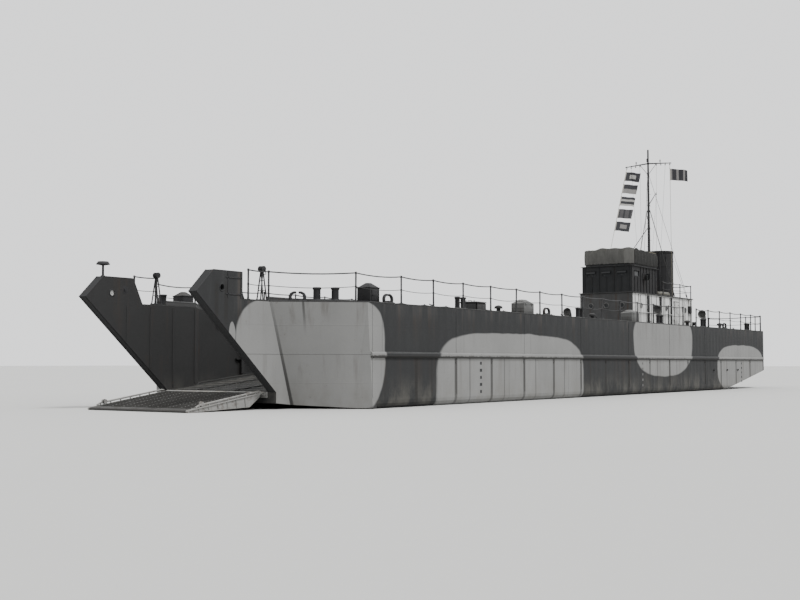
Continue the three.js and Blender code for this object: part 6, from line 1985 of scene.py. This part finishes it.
class CRAFT_OT_rafts(bpy.types.Operator):
    """Makes the two life rafts on the deckhouse roof, with lashings, life lines and slatted floors"""

    bl_idname = "craft.rafts"
    bl_label = "Life rafts"

    def execute(self, context):
        x0, half, level, z = RAFT["x"], RAFT["half"], RAFT["float"], ROOF_Z
        for side, s in SIDES:
            y0 = s * RAFT["y"]
            path = [
                *arc((x0 + half, y0), RAFT["bend"], -90, 90, 14),
                *arc((x0 - half, y0), RAFT["bend"], 90, 270, 14),
            ]
            body = tube([(x, y, level) for x, y in path], 0.13, 18, closed=True)
            for v in body.verts:
                v.co.z = level + (v.co.z - level) * 1.22
            piece(f"raft_float_{side}", [body], "raft")
            shapes = []
            for px, py in path[::2]:
                axis = Vector((1, 0, 0)) if abs(px - x0) < 0.46 else Vector((y0 - py, px - x0, 0))
                place = Matrix.Translation((px, py, level)) @ Matrix.Diagonal((1, 1, 1.2, 1)) @ tilted(axis)
                shapes += moved([ring((0, 0, 0), 0.142, 0.012, UP, 20, 6)], place)
            line = []
            for i in range(len(path) * 4):
                a, b = path[i // 4], path[(i // 4 + 1) % len(path)]
                px, py = a[0] + (b[0] - a[0]) * (i % 4) / 4, a[1] + (b[1] - a[1]) * (i % 4) / 4
                nearest = min(max(px, x0 - half), x0 + half)
                out = Vector((px - nearest, py - y0)).normalized() * 0.145
                line.append((px + out.x, py + out.y, z + 0.19 - 0.05 * abs(math.sin(i * math.pi / 8))))
            shapes.append(tube(line, 0.011, 6, closed=True))
            piece(f"raft_lashings_{side}", shapes, "rope")
            slats = [
                *(
                    block(about(x, 0.05), about(y0, 0.43), (z + 0.1, z + 0.125), 0.006)
                    for x in spread(x0 - 0.66, x0 + 0.66, 8)
                ),
                *(
                    block(about(x0, 0.75), about(y, 0.03), (z + 0.075, z + 0.1), 0.005)
                    for y in about(y0, 0.25)
                ),
                *(block(about(x, 0.06), about(y0, 0.55), (z, z + 0.05), 0.008) for x in about(x0, 0.5)),
            ]
            piece(f"raft_floor_{side}", slats, "wood")
        return {"FINISHED"}


WINCH = {"x": 2.3, "rise": 0.62, "half": 0.62, "coils": 34}


class CRAFT_OT_winch(bpy.types.Operator):
    """Makes the kedge winch: bed, cheeks, brake and a drum wound with wire"""

    bl_idname = "craft.winch"
    bl_label = "Kedge winch"

    def execute(self, context):
        x, z, half = WINCH["x"], WINCH["rise"], WINCH["half"]
        cheek = [
            (-0.42, 0.05), (0.42, 0.05), (0.17, z + 0.1), (0.1, z + 0.17), (-0.1, z + 0.17), (-0.17, z + 0.1)
        ]
        collar = [
            (0.073, 0.05), (0.13, 0.05), (0.135, 0.06), (0.135, 0.16), (0.13, 0.17), (0.073, 0.17),
            (0.073, 0.05),
        ]
        lever = [(0.34, half + 0.2, 0.08), (0.38, half + 0.21, 0.6), (0.46, half + 0.21, 0.95)]
        knob = [(0, -0.05), (0.025, -0.045), (0.03, 0), (0.025, 0.045), (0, 0.05)]
        shapes = [
            block((-0.5, 0.5), about(0, half + 0.3), (0.002, 0.08), 0.012, 2),
            block((-0.42, -0.2), (-half - 0.28, -half - 0.1), (0.08, 0.34), 0.015, 2),
            *bolts(
                [(dx, y, 0.08) for dx in (-0.44, 0.44) for y in (-half - 0.22, -0.3, 0.3, half + 0.22)],
                0.026, 0.02,
            ),
            tube(lever, 0.018, 10),
            turned(knob, lever[-1], (0.15, 0, 1), 14),
        ]
        for _, s in SIDES:
            side = [
                plate(cheek, half + 0.07, half + 0.11, "y", 0.006), turned(collar, (0, half, z), ATHWART, 28)
            ]
            for dx in (-0.36, 0.36):
                gusset = [(dx, 0.08), (dx * 0.55, z - 0.1), (dx * 0.45, z - 0.1), (dx * 0.75, 0.08)]
                side.append(plate(gusset, half + 0.11, half + 0.17, "y"))
            shapes += sided(side, s)
        piece("winch_bed", stood(shapes, x, 0), "fitting", instead_of=["kedge_winch_frame"])
        drum = [
            (0, -half - 0.42), (0.12, -half - 0.42), (0.13, -half - 0.4), (0.155, -half - 0.38),
            (0.12, -half - 0.3), (0.155, -half - 0.21), (0.07, -half - 0.2), (0.07, -half), (0.41, -half),
            (0.42, 0.008 - half), (0.42, 0.042 - half), (0.41, 0.05 - half), (0.24, 0.05 - half),
        ]
        shapes = [turned(both_ends(drum), (0, 0, z), ATHWART, 40)]
        for px, pz, _ in circle(0.34, 0, 6):
            for _, s in SIDES:
                shapes += sided([turned(disc(0.045, 0, 0.006), (px, half + 0.001, z + pz), ATHWART, 16)], s)
        nodes = ["kedge_winch_drum"]
        piece("winch_drum_casting", stood(shapes, x, 0), "fitting", "winch_drum", instead_of=nodes)
        wound = []
        for i in range(WINCH["coils"] * 14 + 1):
            a = math.tau * i / 14
            y = 0.07 - half + (2 * half - 0.14) / WINCH["coils"] * i / 14
            wound.append((0.262 * math.cos(a), y, z + 0.262 * math.sin(a)))
        piece("winch_wire", stood([tube(wound, 0.0185, 6)], x, 0), "wire", "winch_drum")
        return {"FINISHED"}


class CRAFT_OT_anchor(bpy.types.Operator):
    """Makes the stockless kedge anchor on its chock at the stern"""

    bl_idname = "craft.anchor"
    bl_label = "Kedge anchor"

    def execute(self, context):
        z = 0.002
        stock = [
            (0, -0.85), (0.045, -0.85), (0.05, -0.83), (0.036, -0.79), (0.034, -0.1), (0.05, -0.09), (0.05, 0)
        ]
        fluke = [(0.48, 0.06), (1.25, 0.1), (1.2, 0.16), (0.7, 0.46), (0.55, 0.47), (0.48, 0.42)]
        chock = [(0.3, z), (1.28, z), (1.28, z + 0.1), (0.8, z + 0.24), (0.31, z + 0.43)]
        shapes = [
            tube([(1.15, 0, z + 0.13), (0.85, 0, z + 0.26), (0.35, 0, z + 0.48)], 0.052, 16),
            turned(both_ends(stock), (0.5, 0, z + 0.42), ATHWART, 18),
            ring((1.2, 0, z + 0.13), 0.06, 0.016, ATHWART, 20, 8),
            plate(chock, -0.055, 0.055, "y", 0.01),
            block((0.3, 1.3), (-0.12, 0.12), (z, z + 0.02), 0.006),
        ]
        for _, s in SIDES:
            arm = [
                plate(fluke, z + 0.385, z + 0.435, soft=0.016, steps=2),
                block((0.52, 1.05), (0.13, 0.16), (z + 0.43, z + 0.47), 0.01),
            ]
            shapes += sided(arm, s)
        piece("anchor_on_chock", stood(shapes, 0, 0), "fitting", instead_of=["kedge_anchor"])
        return {"FINISHED"}


def blade(radius, turn):
    """A propeller blade: a flat oval, thickened, then twisted more at its root than its tip."""
    outline = [
        (0.07, -0.05), (0.13, -0.095), (0.2, -0.128), (0.28, -0.14), (0.35, -0.125), (0.4, -0.08),
        (radius, 0.0), (0.4, 0.085), (0.35, 0.128), (0.28, 0.14), (0.2, 0.125), (0.13, 0.09), (0.07, 0.05),
    ]
    shape = plate(outline, -0.011, 0.011, "z", 0.006, 2)
    bmesh.ops.triangulate(shape, faces=[f for f in shape.faces if len(f.verts) > 4])
    bmesh.ops.subdivide_edges(shape, edges=shape.edges, cuts=2, use_grid_fill=True)
    for v in shape.verts:
        pitch = math.radians(62 - 34 * (v.co.x / radius)) * turn
        v.co = Matrix.Rotation(pitch, 3, "X") @ v.co
    bmesh.ops.transform(shape, matrix=Matrix.Rotation(-math.pi / 2, 4, "Y"), verts=shape.verts)
    return shape


PROPELLER = Vector((2.55, 1.9, 0.55))
RUDDER_X = 1.35


class CRAFT_OT_propulsion(bpy.types.Operator):
    """Makes the propellers and rudders"""

    bl_idname = "craft.propulsion"
    bl_label = "Propellers and rudders"

    def execute(self, context):
        hub = [
            (0.052, 0.13), (0.1, 0.13), (0.12, 0.115), (0.122, 0.0), (0.115, -0.08), (0.1, -0.13),
            (0.07, -0.16), (0.052, -0.16), (0.052, 0.13),
        ]
        half = [(-0.6, 0.009), (-0.3, 0.036), (0, 0.058), (0.26, 0.052), (0.36, 0.03)]
        foil = [(0.38, 0), *reversed(half), (-0.62, 0), *((u, -v) for u, v in half)]
        seat = [(0.06, 1.05), (0.1, 1.05), (0.1, 1.12), (0.06, 1.14), (0.06, 1.05)]
        for side, s in SIDES:
            shapes = [turned(hub, axis=(1, 0, 0))]
            for a in turns(3):
                shapes += moved([blade(0.42, s)], Matrix.Rotation(a, 4, "X"))
            shapes = moved(shapes, Matrix.Translation(PROPELLER * Vector((1, s, 1))))
            nodes = [f"propeller_{side}"]
            piece(
                f"propeller_casting_{side}", shapes, "bronze", f"{side}_propeller", instead_of=nodes,
            )
            shapes = [
                plate(foil, 0.14, 1.05, soft=0.012, steps=2),
                rod((0, 0, 0.95), (0, 0, 1.62), 0.058, sides=24),
                *(block((-0.5, 0.3), (-0.062, 0.062), about(h, 0.012), 0.004) for h in (0.35, 0.6, 0.85)),
                turned(seat, sides=24),
            ]
            shapes = moved(shapes, Matrix.Translation((RUDDER_X, s * PROPELLER.y, 0)))
            nodes = [f"rudder_{side}"]
            piece(f"rudder_blade_{side}", shapes, "hull", f"{side}_rudder", instead_of=nodes)
        return {"FINISHED"}


# Stage

EYE = Vector((28.9325, 15.87, 0.865))
VIEW_MARGIN = 1.08


class CRAFT_OT_stage(bpy.types.Operator):
    """Lays the floor, sets soft lights and stands the camera at the photo's viewpoint"""

    bl_idname = "craft.stage"
    bl_label = "Stage"

    def execute(self, context):
        scene = context.scene
        floor = bmesh.new()
        bmesh.ops.create_grid(floor, x_segments=1, y_segments=1, size=400.0)
        mesh = bpy.data.meshes.new("studio_floor")
        floor.to_mesh(mesh)
        floor.free()
        mesh.materials.append(coat("floor"))
        made = bpy.data.objects.new("studio_floor", mesh)
        scene.collection.objects.link(made)

        world = bpy.data.worlds.new("studio")
        scene.world = world
        world.use_nodes = True
        back = world.node_tree.nodes["Background"]
        back.inputs["Color"].default_value = (0.86, 0.865, 0.87, 1.0)
        back.inputs["Strength"].default_value = 1.7

        for name, strength, spread_angle, azimuth, height in (
            ("key", 3.6, 14, 82, 60), ("fill", 0.5, 60, 150, 30)
        ):
            light = bpy.data.lights.new(name, "SUN")
            light.energy = strength
            light.angle = math.radians(spread_angle)
            lamp = bpy.data.objects.new(name, light)
            a, h = math.radians(azimuth), math.radians(height)
            towards = Vector((math.cos(a) * math.cos(h), math.sin(a) * math.cos(h), math.sin(h)))
            lamp.rotation_euler = towards.to_track_quat("Z", "Y").to_euler()
            scene.collection.objects.link(lamp)

        low, high = CAD_BOX
        corners = [Vector((x, y, 0)) for x in (low.x, high.x) for y in (low.y, high.y)]
        bearings = [math.atan2(*(c - EYE).yx) for c in corners]
        aim, spread_half = (min(bearings) + max(bearings)) / 2, (max(bearings) - min(bearings)) / 2
        data = bpy.data.cameras.new("eye")
        data.sensor_width = 36.0
        data.lens = 18.0 / (math.tan(spread_half) * VIEW_MARGIN)
        data.clip_start, data.clip_end = 0.1, 1500.0
        camera = bpy.data.objects.new("eye", data)
        camera.location = EYE
        look = Vector((math.cos(aim), math.sin(aim), 0.055))
        camera.rotation_euler = look.to_track_quat("-Z", "Y").to_euler()
        scene.collection.objects.link(camera)
        scene.camera = camera
        return {"FINISHED"}


OPERATORS = (
    CRAFT_OT_stage, CRAFT_OT_hull, CRAFT_OT_flare, CRAFT_OT_hold, CRAFT_OT_bow, CRAFT_OT_ramp,
    CRAFT_OT_side_decks, CRAFT_OT_poop, CRAFT_OT_rails, CRAFT_OT_hatches, CRAFT_OT_deckhouse,
    CRAFT_OT_wheelhouse, CRAFT_OT_bridge, CRAFT_OT_funnel, CRAFT_OT_mast, CRAFT_OT_flags, CRAFT_OT_rafts,
    CRAFT_OT_winch, CRAFT_OT_anchor, CRAFT_OT_propulsion,
)


class CRAFT_PT_dressing(bpy.types.Panel):
    """Lists the craft's pieces, colours and sizes"""

    bl_idname = "CRAFT_PT_dressing"
    bl_label = "Landing Craft"
    bl_space_type = "VIEW_3D"
    bl_region_type = "UI"
    bl_category = "Landing Craft"

    def draw(self, context):
        for operator in OPERATORS:
            self.layout.operator(operator.bl_idname)
        for settings in (context.scene.craft_paint, context.scene.craft_sizes):
            for name in settings.bl_rna.properties.keys():
                if name not in {"rna_type", "name"}:
                    self.layout.prop(settings, name)


CLASSES = (LandingCraftPaint, LandingCraftSizes, *OPERATORS, CRAFT_PT_dressing)


def register():
    for cls in CLASSES:
        bpy.utils.register_class(cls)
    bpy.types.Scene.craft_paint = bpy.props.PointerProperty(type=LandingCraftPaint)
    bpy.types.Scene.craft_sizes = bpy.props.PointerProperty(type=LandingCraftSizes)


def unregister():
    del bpy.types.Scene.craft_sizes
    del bpy.types.Scene.craft_paint
    for cls in reversed(CLASSES):
        bpy.utils.unregister_class(cls)


def main():
    register()
    for operator in OPERATORS:
        getattr(bpy.ops.craft, operator.bl_idname.split(".")[1])()


if __name__ == "__main__":
    main()
